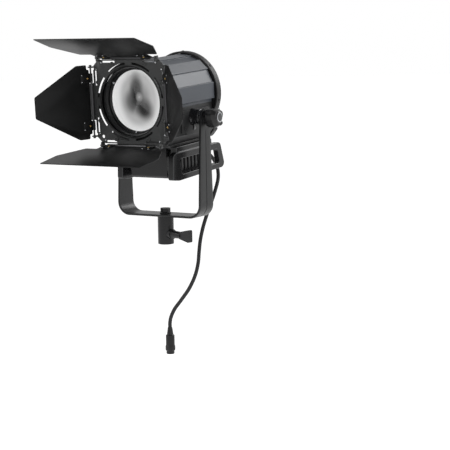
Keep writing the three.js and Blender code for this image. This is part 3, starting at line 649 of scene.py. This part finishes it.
class LAMP_OT_locks(bpy.types.Operator):
    """The tilt knob with its domed cap, the far-side pivot bolt and the spigot's T handle"""
    bl_idname = "lamp.locks"
    bl_label = "Tilt and spigot locks"

    def execute(self, context):
        knob = "moulded black"
        refined("tilt_lock_knob", "tilt_knob_grip", knob, "cast edge wear and highlight", 0.9 * MM, 3, angle=20)
        refined("spigot_lock_handle", "spigot_t_handle", knob, bevel=2.2 * MM, segments=4, angle=28)
        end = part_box("tilt_lock_knob")[1].x
        face = aligned((end, 0, TILT_PIVOT.z), (1, 0, 0))
        dome = in_mm([(0, -1), (10.6, -1), (10.6, 0.5), (9.6, 1.1), (0, 1.7)])
        turned_piece("tilt_knob_cap", dome, 0.5, 96, "tilt_lock", "gloss black", face, slot="window_black")
        band = in_mm([(7.4, 1.0), (8.6, 1.0), (8.6, 1.5), (7.4, 1.7), (7.4, 1.0)])
        piece("tilt_knob_band", [turned(band)], "tilt_lock", "zinc steel", face, slot="steel")
        out = -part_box("pivot_bolt_left")[0].x
        socket = out - 2.5 * MM
        shank = in_mm([(0, 66), (4.1, 66), (4.1, 89.4), (9.5, 89.4), (9.5, 92)])
        head = [(7.5 * MM, out), (4 * MM, out), (3.6 * MM, socket), (0, socket)]
        bolt = np.vstack([shank, head])
        turned_piece("left_pivot_bolt", bolt, 0.5, 64, "head", "zinc steel", tilt_end(-1),
                     nodes=["pivot_bolt_left"])
        for side, name in SIDES:
            near, far = sorted(abs(v[0]) for v in span(f"tilt_hub_{name}"))
            root = in_mm([(4.4, 0), (15.5, 0), (13.9, 5), (13.5, 7)]) + (0, near)
            rim = in_mm([(13.5, -3), (12.6, -2.6), (12.6, 0), (4.4, 0)]) + (0, far)
            hub = np.vstack([root, rim, root[:1]])
            turned_piece(f"{name}_tilt_hub", hub, 0.6, 96, "head", "gloss black", tilt_end(side),
                         nodes=[f"tilt_hub_{name}"])
        return {"FINISHED"}


class LAMP_OT_housing(bpy.types.Operator):
    """Lower housing, painted cover, side panels and the rear ring, with their screws"""
    bl_idname = "lamp.housing"
    bl_label = "Housing"

    def execute(self, context):
        sizes = context.scene.lamp_sizes
        cast, edge = "cast black", "cast edge wear and highlight"
        refined("lower_housing", "housing_trough", cast, edge, sizes.edge)
        refined("top_cover", "painted_cover", "cover paint", None, 0.5 * MM, 3, angle=10)
        for _, name in SIDES:
            refined(f"side_panel_{name}", f"{name}_side_plate", cast, edge, 0.5 * MM, join=False)
        refined("front_bezel", "front_frame", cast, None, sizes.edge)
        self.ring(cast)
        face = span("side_panel_right")[1][0]
        places = in_mm([(-30, -18), (50, -20), (50, 6), (-34, 8)])
        for side, name in SIDES:
            heads = []
            for y, z in places:
                head = screw(2.6, 1.3)
                heads.append(np.stack([side * (head[..., 1] + face), head[..., 0] + y, head[..., 2] + z], -1))
            piece(f"{name}_panel_screws", heads, "head", "moulded black", HEAD, slot="knob_plastic")
            self.boss(side, name, face)
        return {"FINISHED"}

    def ring(self, cast):
        """Swept section: a rounded rectangle carried along the arch of the rear ring."""
        low, high = span("rear_ring")
        r, wall = high[0], 4 * MM
        depth, centre = high[1] - low[1], (low[1] + high[1]) / 2
        half, base = 62.5 * MM - wall / 2, low[2] + wall / 2
        mid = r - wall / 2
        meet = math.acos(half / mid)
        a = np.linspace(-meet, math.pi + meet, 120)
        arch = np.stack([mid * np.cos(a), OPTIC_Z + mid * np.sin(a)], -1)
        side, low_end = base + 11 * MM, half - 10 * MM
        foot = [(-half, side), (-low_end, base), (low_end, base), (half, side)]
        t = np.linspace(0, 1, 10)[:, None]
        legs = [arch]
        corners = [arch[-1], *map(np.array, foot), arch[0]]
        for start, end in zip(corners[:-1], corners[1:]):
            legs.append((start + (end - start) * t)[1:])
        path = np.vstack(legs)[:-1]
        along = np.roll(path, -1, 0) - np.roll(path, 1, 0)
        along /= np.linalg.norm(along, axis=1)[:, None]
        normal = np.stack([along[:, 1], np.zeros(len(path)), -along[:, 0]], -1)
        centres = np.stack([path[:, 0], np.full(len(path), centre), path[:, 1]], -1)
        section = rounded_section(wall / 2, depth / 2, 1.2 * MM, 4)
        grid = swept(section[None], centres, normal, np.tile([0.0, 1.0, 0.0], (len(path), 1)))
        piece("rear_hoop", [grid], "head", cast, HEAD, close_rows=True, nodes=["rear_ring"])
        screws = []
        for angle in (-12, 40, 90, 140, 192):
            c, s = math.cos(math.radians(angle)), math.sin(math.radians(angle))
            x, reach, z = np.moveaxis(screw(2.4, 1.0) + (0, r, 0), -1, 0)
            screws.append(np.stack([reach * c - x * s, z + centre, OPTIC_Z + reach * s + x * c], -1))
        piece("hoop_screws", screws, "head", "moulded black", HEAD, slot="knob_plastic")

    def boss(self, side, name, face):
        """A small three-cornered boss: its radius is 5.2 mm / (1 + 0.55 (1 - cos 3a) / 2) at angle a."""
        a = np.linspace(0, 2 * math.pi, 48, endpoint=False)
        y, z = 1 * MM, -19.5 * MM
        radius = 5.2 * MM / (1 + 0.55 * (0.5 - 0.5 * np.cos(3 * a)))
        levels = np.array([(0.0, -0.2), (1.0, -0.2), (1.0, 0.5), (0.86, 0.8), (0.0, 0.8)])
        s, h = levels[:, :1], levels[:, 1:] * MM
        u, v = s * radius * np.sin(a), s * radius * np.cos(a)
        grid = np.stack([side * (face + h + 0 * u), u + y, v + z], -1)
        piece(f"{name}_panel_boss", [grid], "head", "gloss black", HEAD, slot="knob_plastic")


class LAMP_OT_optics(bpy.types.Operator):
    """Fresnel lens, its barrel with light-trap ribs, the retaining ring and its screws"""
    bl_idname = "lamp.optics"
    bl_label = "Lens and barrel"

    def execute(self, context):
        sizes = context.scene.lamp_sizes
        axes = LENS_AXES
        edge = LENS_HIGH[2] - OPTIC_Z
        front, back = LENS_LOW[1], LENS_HIGH[1]
        centre, depth = 9 * MM, 0.55 * MM
        # the centre bulges: y = front + 1.1 mm (r / centre)^2
        r = np.linspace(0, centre, 10)
        profile = [np.stack([r, front + 0.05 * MM + 1.1 * MM * (r / centre) ** 2], -1)]
        # each zone: a groove's foot, half its rise and its crest
        width = (edge - centre) / sizes.lens_zones
        for i in range(sizes.lens_zones):
            start = centre + i * width
            profile.append([(start + 0.12 * width, front + 0.1 * MM),
                            (start + 0.5 * width, front + depth * 0.55),
                            (start + width * 0.999, front + depth)])
        profile.append([(edge, back), (0, back)])
        piece("lens_glass", [turned(np.vstack(profile), 128)], "head", "lens glass", axes,
              nodes=["fresnel_lens"])
        low, high = span("lens_barrel")
        outer = (high[0] - low[0]) / 2 - 2.5 * MM
        inner = outer - 3 * MM
        y0, y1 = low[1], high[1]
        flange = y1 - 2.7 * MM
        ribs = []
        for i in range(5):
            at = y0 + 3.5 * MM + i * 1.9 * MM
            ribs += [(inner, at), (inner + 0.7 * MM, at + 0.3 * MM), (inner + 0.7 * MM, at + 1.3 * MM)]
        mouth, seat, ledge = (inner + 1.6 * MM, y0), 54 * MM, y1 - 2.2 * MM
        shell = [mouth, (outer, y0), (outer, flange), (high[0], flange), (high[0], y1), (seat, y1),
                 (seat, ledge), (inner, ledge)]
        shape = [*shell, *ribs[::-1], mouth]
        piece("lens_snoot", [turned(soft_corners(shape, 0.4 * MM, 3))], "head", "powder black", axes,
              nodes=["lens_barrel"])
        low, high = span("lens_retaining_ring")
        y0, y1, r = low[1], high[1], high[0]
        bore = r - 4 * MM
        ring = [(bore, y1), (r, y1), (r, y0), (r - 1.6 * MM, y0), (bore, y0 + 2.4 * MM), (bore, y1)]
        turned_piece("lens_clamp_ring", ring, 0.35, 96, "head", "powder black", axes,
                     nodes=["lens_retaining_ring"])
        screws = []
        for angle in (266, 26, 146):
            seat = Matrix.Translation((r - 2.2 * MM, y0 - 0.2 * MM, 0))
            place = Matrix.Rotation(math.radians(-angle), 4, "Y") @ seat
            screws.append(moved(screw(1.9, 1.6), place @ HALF_TURN))
        piece("lens_clamp_screws", screws, "head", "zinc steel", axes, slot="steel")
        return {"FINISHED"}


class LAMP_OT_rear(bpy.types.Operator):
    """Rear panel with its fan guard, display, sockets, switch and knobs"""
    bl_idname = "lamp.rear"
    bl_label = "Rear controls"

    def execute(self, context):
        cast, knob = "cast black", "moulded black"
        refined("rear_panel", "control_panel", cast, None, 0.4 * MM, join=False)
        refined("fan_grille", "fan_guard", knob, None, 0.3 * MM)
        refined("display_window", "readout_window", "gloss black", None, 0.5 * MM, 3)
        refined("power_switch", "switch_rocker", knob, None, 0.5 * MM, 3)
        self.socket("data_socket_in", "data_in_socket", knob)
        self.socket("data_socket_out", "data_out_socket", knob)
        self.focus()
        self.dimmer()
        return {"FINISHED"}

    def socket(self, node, name, knob):
        """A round five-pin socket: its shell, its insert and a ring of pins."""
        low, high = span(node)
        axes = centred(low, high)
        y0, y1 = low[1], high[1]
        flange = y1 - 6.8 * MM
        shell = [(6 * MM, y0), (7.9 * MM, y0), (7.9 * MM, flange), (10 * MM, flange),
                 (10 * MM, y1 - 4 * MM), (8.6 * MM, y1), (6 * MM, y1), (6 * MM, y0)]
        turned_piece(name, shell, 0.4, 64, "head", "zinc steel", axes, nodes=[node])
        foot, face = y0 + 1 * MM, y1 - 5 * MM
        core = [(0, foot), (5.9 * MM, foot), (5.9 * MM, face), (0, face)]
        turned_piece(f"{name}_insert", core, 0.4, 48, "head", knob, axes, slot="knob_plastic")
        pin = turned(in_mm([(0, -6), (0.6, -6), (0.6, -2), (0, -1.6)]) + (0, y1), 12)
        angles = [math.radians(36 + 72 * i) for i in range(5)]
        pins = [pin + (3.4 * MM * math.cos(a), 0, 3.4 * MM * math.sin(a)) for a in angles]
        piece(f"{name}_pins", pins, "head", "turned brass", axes, slot="brass")

    def dimmer(self):
        """A ball on a stem: the ball's part runs from 1.1 rad below its widest ring to its top."""
        low, high = span("dimmer_knob")
        half = (high[0] - low[0]) / 2
        ball = half * 0.93
        middle = high[1] - ball
        a = np.linspace(-1.1, math.pi / 2, 16)
        collar = in_mm([(2.4, 86), (5.9, 86), (4, 90), (2.6, 91)])
        stem = [(0, low[1]), (2.4 * MM, low[1]), *collar, (2.6 * MM, middle - 0.8 * half)]
        top = np.stack([ball * np.cos(a), middle + ball * np.sin(a)], -1)
        piece("dimmer_ball", [turned(np.vstack([soft_corners(stem, 0.5 * MM), top]), 48)], "dimmer",
              "gloss black", centred(low, high), nodes=["dimmer_knob"])

    def focus(self):
        """Turned knob whose radius is R (1 - depth (1 + cos 24a) / 2) between its end bevels."""
        flutes, depth = 24, 0.035
        low, high = span("focus_knob")
        r, y0, y1 = (high[0] - low[0]) / 2, low[1], high[1]
        body = [(0, y0), (0.9 * r, y0), (r, y0 + 1.5 * MM), (r, y1 - 2 * MM), (0.88 * r, y1), (0, y1)]
        grid = turned(soft_corners(body, 0.5 * MM), 144)
        angle = np.linspace(0, 2 * math.pi, 144, endpoint=False)
        ripple = 1 - depth * (1 + np.cos(flutes * angle)) / 2
        grip = (grid[..., 1] > y0 + 1.4 * MM) & (grid[..., 1] < y1 - 1.9 * MM)
        grid[..., ::2] *= np.where(grip, ripple, 1)[..., None]
        piece("focus_grip", [grid], "focus", "grey moulding", centred(low, high), nodes=["focus_knob"])


class LAMP_OT_driver(bpy.types.Operator):
    """Base tray, driver box and the two bumper rails"""
    bl_idname = "lamp.driver"
    bl_label = "Driver box and rails"

    def execute(self, context):
        sizes = context.scene.lamp_sizes
        cast, edge = "cast black", "cast edge wear and highlight"
        refined("base_tray", "tray_plate", cast, edge, 0.8 * MM, 3)
        refined("driver_case", "driver_box", "box black", edge, 1.0 * MM, 3)
        refined("driver_cover", "driver_end_plate", cast, edge, 0.6 * MM)
        for _, name in SIDES:
            refined(f"bumper_rail_{name}", f"{name}_bumper", "box black", edge, sizes.rail_edge, 4)
        low, high = span("driver_case")
        section = rounded_section(1.4 * MM, 1.6 * MM, 0.6 * MM, 2)
        rise = np.linspace(low[2] + 9 * MM, high[2] - 9 * MM, 6)
        across, back = np.tile(np.eye(3)[:2, None], (1, rise.size, 1))
        for side, name in SIDES:
            face = side * (high[0] + 0.4 * MM)
            ribs = []
            for i in range(9):
                y = low[1] + 12 * MM + i * 12 * MM
                centres = np.stack([np.full(6, face), np.full(6, y), rise], -1)
                ribs.append(swept(section[None], centres, across, back))
            piece(f"{name}_box_ribs", ribs, "head", cast, HEAD, slot="body_plastic")
        low, high = span("driver_cover")
        heads = []
        for x in (low[0] + 6 * MM, high[0] - 6 * MM):
            for z in (low[2] + 6 * MM, high[2] - 6 * MM):
                heads.append(screw(2.6, 1.4) + (x, high[1], z))
        piece("end_plate_screws", heads, "head", "zinc steel", HEAD, slot="steel")
        return {"FINISHED"}


class LAMP_OT_barndoor(bpy.types.Operator):
    """The barndoor's plate, ring, leaves, hinge rods, rivets and screws, and the latch that holds it"""
    bl_idname = "lamp.barndoor"
    bl_label = "Barndoor"

    def execute(self, context):
        door = "door black"
        refined("barndoor_plate", "door_plate", "plate grey", "cast edge wear and highlight", 0.25 * MM, join=False)
        low, high = span("barndoor_ring")
        outer, y0, y1 = high[0], low[1], high[1]
        neck, inner = outer - 4.8 * MM, outer - 6.5 * MM
        step = y1 - 2 * MM
        collar = [(inner, y0), (neck, y0), (neck, step), (outer, step), (outer, y1), (inner, y1), (inner, y0)]
        lip = in_mm([(-2.2, -2), (-0.6, -2), (0, -0.2), (0, 0), (-2.2, 0), (-2.2, -2)]) + (inner, y0)
        turned_piece("hole_lip", lip, 0.3, 128, "barndoor", door, LENS_AXES, slot="door_paint")
        turned_piece("door_collar", collar, 0.3, 128, "barndoor", door, LENS_AXES, nodes=["barndoor_ring"])
        refined("latch_bracket", "latch_cheeks", "cast black", None, 0.5 * MM)
        refined("accessory_latch", "latch_hook", "zinc steel", None, 0.6 * MM, 3)
        self.flanges()
        self.plate_screws()
        for side in ("top", "right", "bottom", "left"):
            self.leaf(side, door)
        return {"FINISHED"}

    def flanges(self):
        """Thin strips that carry the plate out behind each hinge rod."""
        loop = rounded_section(33 * MM, 3.1 * MM, 0.8 * MM)
        strip = slab(loop, (0, 76.2 * MM), [(0, -103.8), (1, -103.8), (1, -102.6), (0, -102.6)])
        turns = [Matrix.Rotation(math.radians(90 * quarter), 4, "Y") for quarter in range(4)]
        piece("hinge_flanges", [moved(strip, turn) for turn in turns], "barndoor", "plate grey", LENS_AXES,
              slot="plate_paint")

    def plate_screws(self):
        """Two broad screws and two small pins along each side of the plate, facing forwards."""
        sheet = Matrix.Translation((0, -103.6 * MM, 0)) @ HALF_TURN
        dark, bright = [], []
        for quarter in range(4):
            turn = Matrix.Rotation(math.radians(90 * quarter), 4, "Y") @ sheet
            for x in (-34 * MM, 34 * MM):
                dark.append(moved(screw(4.2, 1.5, 32, 0.3) + (x, 0, -66 * MM), turn))
            for x in (-57 * MM, 57 * MM):
                bright.append(moved(screw(1.5, 1.1, 20, 0.2) + (x, 0, -68.5 * MM), turn))
        piece("plate_screws", dark, "barndoor", "plate grey", LENS_AXES, slot="plate_paint")
        piece("plate_pins", bright, "barndoor", "zinc steel", LENS_AXES, slot="steel")

    def leaf(self, side, door):
        """One leaf with its hinge. Its axes stand on the hinge: X along it, Y into the beam, Z to the tip."""
        joint = JOINTS[f"door_{side}_swing"]
        hinge, along = Vector(joint["pos_m"]), Vector(joint["axis"]).normalized()
        co = vertices_of(f"leaf_{side}") - np.array(hinge)
        co -= np.outer(co @ np.array(along), along)
        reach = np.linalg.norm(co, axis=1)
        run = Vector(co[reach > 0.93 * reach.max()].mean(0)).normalized()
        inward = along.cross(run)
        middle = HEAD @ Vector((0, (HEAD.inverted() @ hinge).y, OPTIC_Z))
        if inward.dot(middle - hinge) < 0:
            inward.negate()
        turn = Matrix((run.cross(inward), inward, run)).transposed().to_4x4()
        axes = Matrix.Translation(hinge) @ turn
        rod_axes = aligned(hinge, along, run)
        refined(f"leaf_{side}", f"{side}_leaf_sheet", door, None, 0.3 * MM, join=False)
        rod = in_mm([(0, -65), (2.4, -65), (2.4, -63), (1.6, -63), (1.6, 63), (2.4, 63), (2.4, 65), (0, 65)])
        turned_piece(f"{side}_hinge_pin", rod, 0.3, 32, "barndoor", "dark oxide", rod_axes,
                     nodes=[f"hinge_rod_{side}"])
        spacer = in_mm([(1.7, -32.5), (3.2, -32.5), (3.2, 32.5), (1.7, 32.5), (1.7, -32.5)])
        turned_piece(f"{side}_hinge_spacer", spacer, 0.4, 40, "barndoor", "dark oxide", rod_axes,
                     slot="door_paint")
        hem = slab(rounded_section(31 * MM, 2.9 * MM, 1 * MM), (0, 7.2 * MM),
                   [(0, -0.7), (1, -0.7), (1, -1.3), (0, -1.3)])
        piece(f"{side}_leaf_hem", [hem], f"door_{side}", door, axes, slot="door_paint")
        rivets, screws, pads = [], [], []
        face = 1.2 * MM
        for centre in (-42 * MM, 42 * MM):
            for x in (-6 * MM, 6 * MM):
                rivets.append(screw(1.3, 0.9, 20, 0.15) + (centre + x, face, 19.5 * MM))
            screws.append(screw(1.7, 1.0, 20, 0.4) + (centre, face, 8 * MM))
            pads.append(slab(rounded_section(9 * MM, 9.5 * MM, 1.5 * MM, 4), (centre, 12.5 * MM),
                             [(0, 0.3), (1, 0.3), (1, 1.0), (0.96, 1.25), (0, 1.25)]))
        piece(f"{side}_leaf_rivets", rivets, f"door_{side}", "zinc steel", axes, slot="steel")
        piece(f"{side}_leaf_screws", screws, f"door_{side}", "turned brass", axes, slot="brass")
        piece(f"{side}_leaf_pads", pads, f"door_{side}", door, axes, slot="door_paint")


# The cord's route from the gland to its connector, listed in millimetres.
CORD_ROUTE = [
    (22, 95.7, 161.4), (22.1, 103, 161), (23.4, 113.6, 157.9), (26, 122.6, 151.3), (29.4, 128.9, 142),
    (33, 131.4, 131.2), (36.5, 129.3, 119.6), (39.3, 123.3, 108), (41, 114.4, 96.3),
    (41.3, 103.6, 80.5), (40, 92.3, 62.5), (37.8, 81.3, 43), (35.5, 72, 22), (34.4, 64, 0),
    (35.6, 57, -20), (37.4, 49.8, -41), (35.8, 41, -63), (28.5, 31.5, -86), (16, 22.8, -107.5),
    (4.7, 16.4, -125), (-1.2, 13, -140), (-3, 12, -151), (-3, 12, -158),
]


def smooth_route(points, per_span=12):
    """A centripetal Catmull-Rom curve: each span is a cubic through its ends whose end slopes come from
    the neighbours, weighted by the square roots of the chords."""
    p = np.asarray(points, float) * MM
    q = np.vstack([2 * p[0] - p[1], p, 2 * p[-1] - p[-2]])
    chord = np.diff(q, axis=0)
    k = np.sqrt(np.linalg.norm(chord, axis=1))[:, None]
    step = chord / k
    skip = (q[2:] - q[:-2]) / (k[:-1] + k[1:])
    slope = step[:-1] - skip + step[1:]
    m1, m2 = (k[1:-1] * slope[:-1])[:, None], (k[1:-1] * slope[1:])[:, None]
    a, b = q[1:-2][:, None], q[2:-1][:, None]
    t = np.linspace(0, 1, per_span, endpoint=False)[None, :, None]
    curve = ((2 * t ** 3 - 3 * t ** 2 + 1) * a + (t ** 3 - 2 * t ** 2 + t) * m1
             + (-2 * t ** 3 + 3 * t ** 2) * b + (t ** 3 - t ** 2) * m2)
    return np.vstack([curve.reshape(-1, 3), p[-1:]])


class LAMP_OT_cord(bpy.types.Operator):
    """Power lead from the gland to its locking inline connector"""
    bl_idname = "lamp.cord"
    bl_label = "Power cord"

    def execute(self, context):
        sizes = context.scene.lamp_sizes
        centres = smooth_route(CORD_ROUTE)
        along = np.gradient(centres, axis=0)
        along /= np.linalg.norm(along, axis=1)[:, None]
        across = np.cross(along, (0.35, 0.2, 0.1))
        across /= np.linalg.norm(across, axis=1)[:, None]
        a = np.linspace(0, 2 * math.pi, 20, endpoint=False)
        section = np.stack([np.cos(a), np.sin(a)], -1) * sizes.cord / 2
        grid = swept(section[None], centres, across, np.cross(along, across))
        data = grid_mesh("supply_cord", [grid])
        finish_mesh(data, FINISHES["soft rubber"])
        lead = new_object("supply_cord", data)
        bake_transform(lead)
        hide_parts("power_cord")
        low, high = span("cord_gland")
        y0, y1, r = low[1], high[1], (high[0] - low[0]) / 2
        sleeve = [(0, y0), (5 * MM, y0), (5 * MM, y0 + 8 * MM), (r, y0 + 8 * MM), (r, y0 + 14 * MM),
                  (r - 1.5 * MM, y0 + 15.5 * MM)]
        taper = np.linspace(0, 1, 31)
        wave = np.where(np.arange(31) % 4 < 2, 0, 0.45 * MM)
        ribbed = 7 * MM - 2.5 * MM * taper - wave
        tail = np.stack([ribbed, y0 + 16 * MM + (y1 - y0 - 16.3 * MM) * taper], -1)
        shape = np.vstack([soft_corners(sleeve, 0.4 * MM), tail, [(0, y1)]])
        piece("strain_relief", [turned(shape, 48)], "head", "soft rubber", centred(low, high),
              nodes=["cord_gland"])
        low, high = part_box("cord_connector")
        top, foot = high.z, low.z
        down = aligned(((low.x + high.x) / 2, (low.y + high.y) / 2, top), (0, 0, -1), (0, 1, 0))
        size = top - foot
        # radius in millimetres, place as a share of the connector's length
        shell = [(0, 0), (4.2, 0), (6.2, 0.28), (8.2, 0.3), (8.2, 0.68), (9.2, 0.7), (9.2, 0.86), (7.6, 0.88),
                 (7.6, 1), (6.2, 1), (6.2, 0.8), (0, 0.8)]
        grid = turned(soft_corners(np.array(shell) * (MM, size), 0.5 * MM, 3), 96)
        angle = np.linspace(0, 2 * math.pi, 96, endpoint=False)
        share, radius = grid[..., 1] / size, np.hypot(grid[..., 0], grid[..., 2])
        flutes, depth = 16, 0.03
        band = (share > 0.69) & (share < 0.87) & (radius > 8 * MM)
        grid[..., ::2] *= np.where(band, 1 - depth * (1 + np.cos(flutes * angle)), 1)[..., None]
        end = piece("inline_connector", [grid], "yoke", "moulded black", down, nodes=["cord_connector"])
        return {"FINISHED"}


# name, place, size in metres, power in watts
LIGHTS = [
    ("key", (-1.3, -1.6, 1.7), 1.2, 26),
    ("fill", (2.4, -1.2, 1.0), 1.4, 10),
    ("back", (1.0, 1.8, 1.6), 1.6, 40),
]
LIT_POINT = Vector((0, 0, 0.25))
FLOOR_HEIGHT = -0.9
CAMERA_PLACE = (1.4121, -2.1834, 0.3783)
CAMERA_DEGREES = (30.502, 7.576, -0.881)
CAMERA_LENS = 114.524


class LAMP_OT_stage(bpy.types.Operator):
    """Pale floor, soft studio light and the camera"""
    bl_idname = "lamp.stage"
    bl_label = "Stage"

    def execute(self, context):
        scene = context.scene
        scene.view_settings.view_transform = "Standard"
        world = bpy.data.worlds.new("studio")
        world.use_nodes = True
        sky = world.node_tree
        rise = sky.nodes.new("ShaderNodeSeparateXYZ")
        sky.links.new(sky.nodes.new("ShaderNodeTexCoord").outputs["Generated"], rise.inputs[0])
        # white round the horizon, dimming upwards
        shade = ramp(sky, rise.outputs["Z"], [(0, 1), (0.22, 1), (0.6, 0.42), (1, 0.3)])
        sky.links.new(shade, sky.nodes["Background"].inputs["Color"])
        scene.world = world
        self.floor()
        for name, place, size, power in LIGHTS:
            light = bpy.data.lights.new(name, "AREA")
            light.shape = "DISK"
            light.size = size
            light.energy = power
            lamp = new_object(name, light)
            lamp.location = place
            lamp.rotation_euler = (LIT_POINT - Vector(place)).to_track_quat("-Z", "Y").to_euler()
        self.camera(scene)
        return {"FINISHED"}

    def floor(self):
        """A disc: rings of points (r cos a, r sin a) whose radius grows to the wide edge."""
        a = np.linspace(0, 2 * math.pi, 64, endpoint=False)
        r = np.array([0, 2, 8, 40.0])
        height = np.full((4, 64), FLOOR_HEIGHT)
        grid = np.stack([r[:, None] * np.cos(a), r[:, None] * np.sin(a), height], -1)
        data = grid_mesh("floor", [grid])
        material, tree, shader = new_material("pale floor")
        set_inputs(tree, shader, {
            "Base Color": (0.93, 0.93, 0.93, 1),
            "Roughness": 0.9,
            "Emission Color": (1, 1, 1, 1),
            "Emission Strength": 0.62,
            "Specular IOR Level": 0.1,
        })
        data.materials.append(material)
        new_object("floor", data)

    def camera(self, scene):
        """A camera turned by azimuth, downward pitch and roll."""
        azimuth, pitch, roll = (math.radians(v) for v in CAMERA_DEGREES)
        level = math.cos(pitch)
        forward = Vector((-math.sin(azimuth) * level, math.cos(azimuth) * level, -math.sin(pitch)))
        right = Vector((math.cos(azimuth), math.sin(azimuth), 0))
        turn = Matrix((right, right.cross(forward), -forward)).transposed().to_4x4()
        data = bpy.data.cameras.new("camera")
        data.sensor_width = 36
        data.lens = CAMERA_LENS
        camera = new_object("camera", data)
        camera.matrix_world = Matrix.Translation(CAMERA_PLACE) @ turn @ Matrix.Rotation(roll, 4, "Z")
        scene.camera = camera


class LAMP_PT_panel(bpy.types.Panel):
    """Build steps and the sizes and colours they use"""
    bl_label = "Fresnel spotlight"
    bl_idname = "LAMP_PT_panel"
    bl_space_type = "VIEW_3D"
    bl_region_type = "UI"
    bl_category = "Spotlight"

    def draw(self, context):
        for step in STEPS:
            self.layout.operator(step.bl_idname)
        for group in (context.scene.lamp_sizes, context.scene.lamp_colours):
            for name in group.__annotations__:
                self.layout.prop(group, name)


STEPS = (LAMP_OT_stage, LAMP_OT_finishes, LAMP_OT_cord, LAMP_OT_yoke, LAMP_OT_locks, LAMP_OT_housing,
         LAMP_OT_optics, LAMP_OT_rear, LAMP_OT_driver, LAMP_OT_barndoor)
CLASSES = (LampSizes, LampColours, *STEPS, LAMP_PT_panel)


def register():
    """Registers the classes and hangs the sizes and colours on the scene."""
    for one in CLASSES:
        bpy.utils.register_class(one)
    bpy.types.Scene.lamp_sizes = PointerProperty(type=LampSizes)
    bpy.types.Scene.lamp_colours = PointerProperty(type=LampColours)


def unregister():
    """Takes both away again."""
    del bpy.types.Scene.lamp_colours
    del bpy.types.Scene.lamp_sizes
    for one in reversed(CLASSES):
        bpy.utils.unregister_class(one)


def main():
    """Runs every step."""
    register()
    for step in STEPS:
        group, name = step.bl_idname.split(".")
        getattr(getattr(bpy.ops, group), name)()


if __name__ == "__main__":
    main()
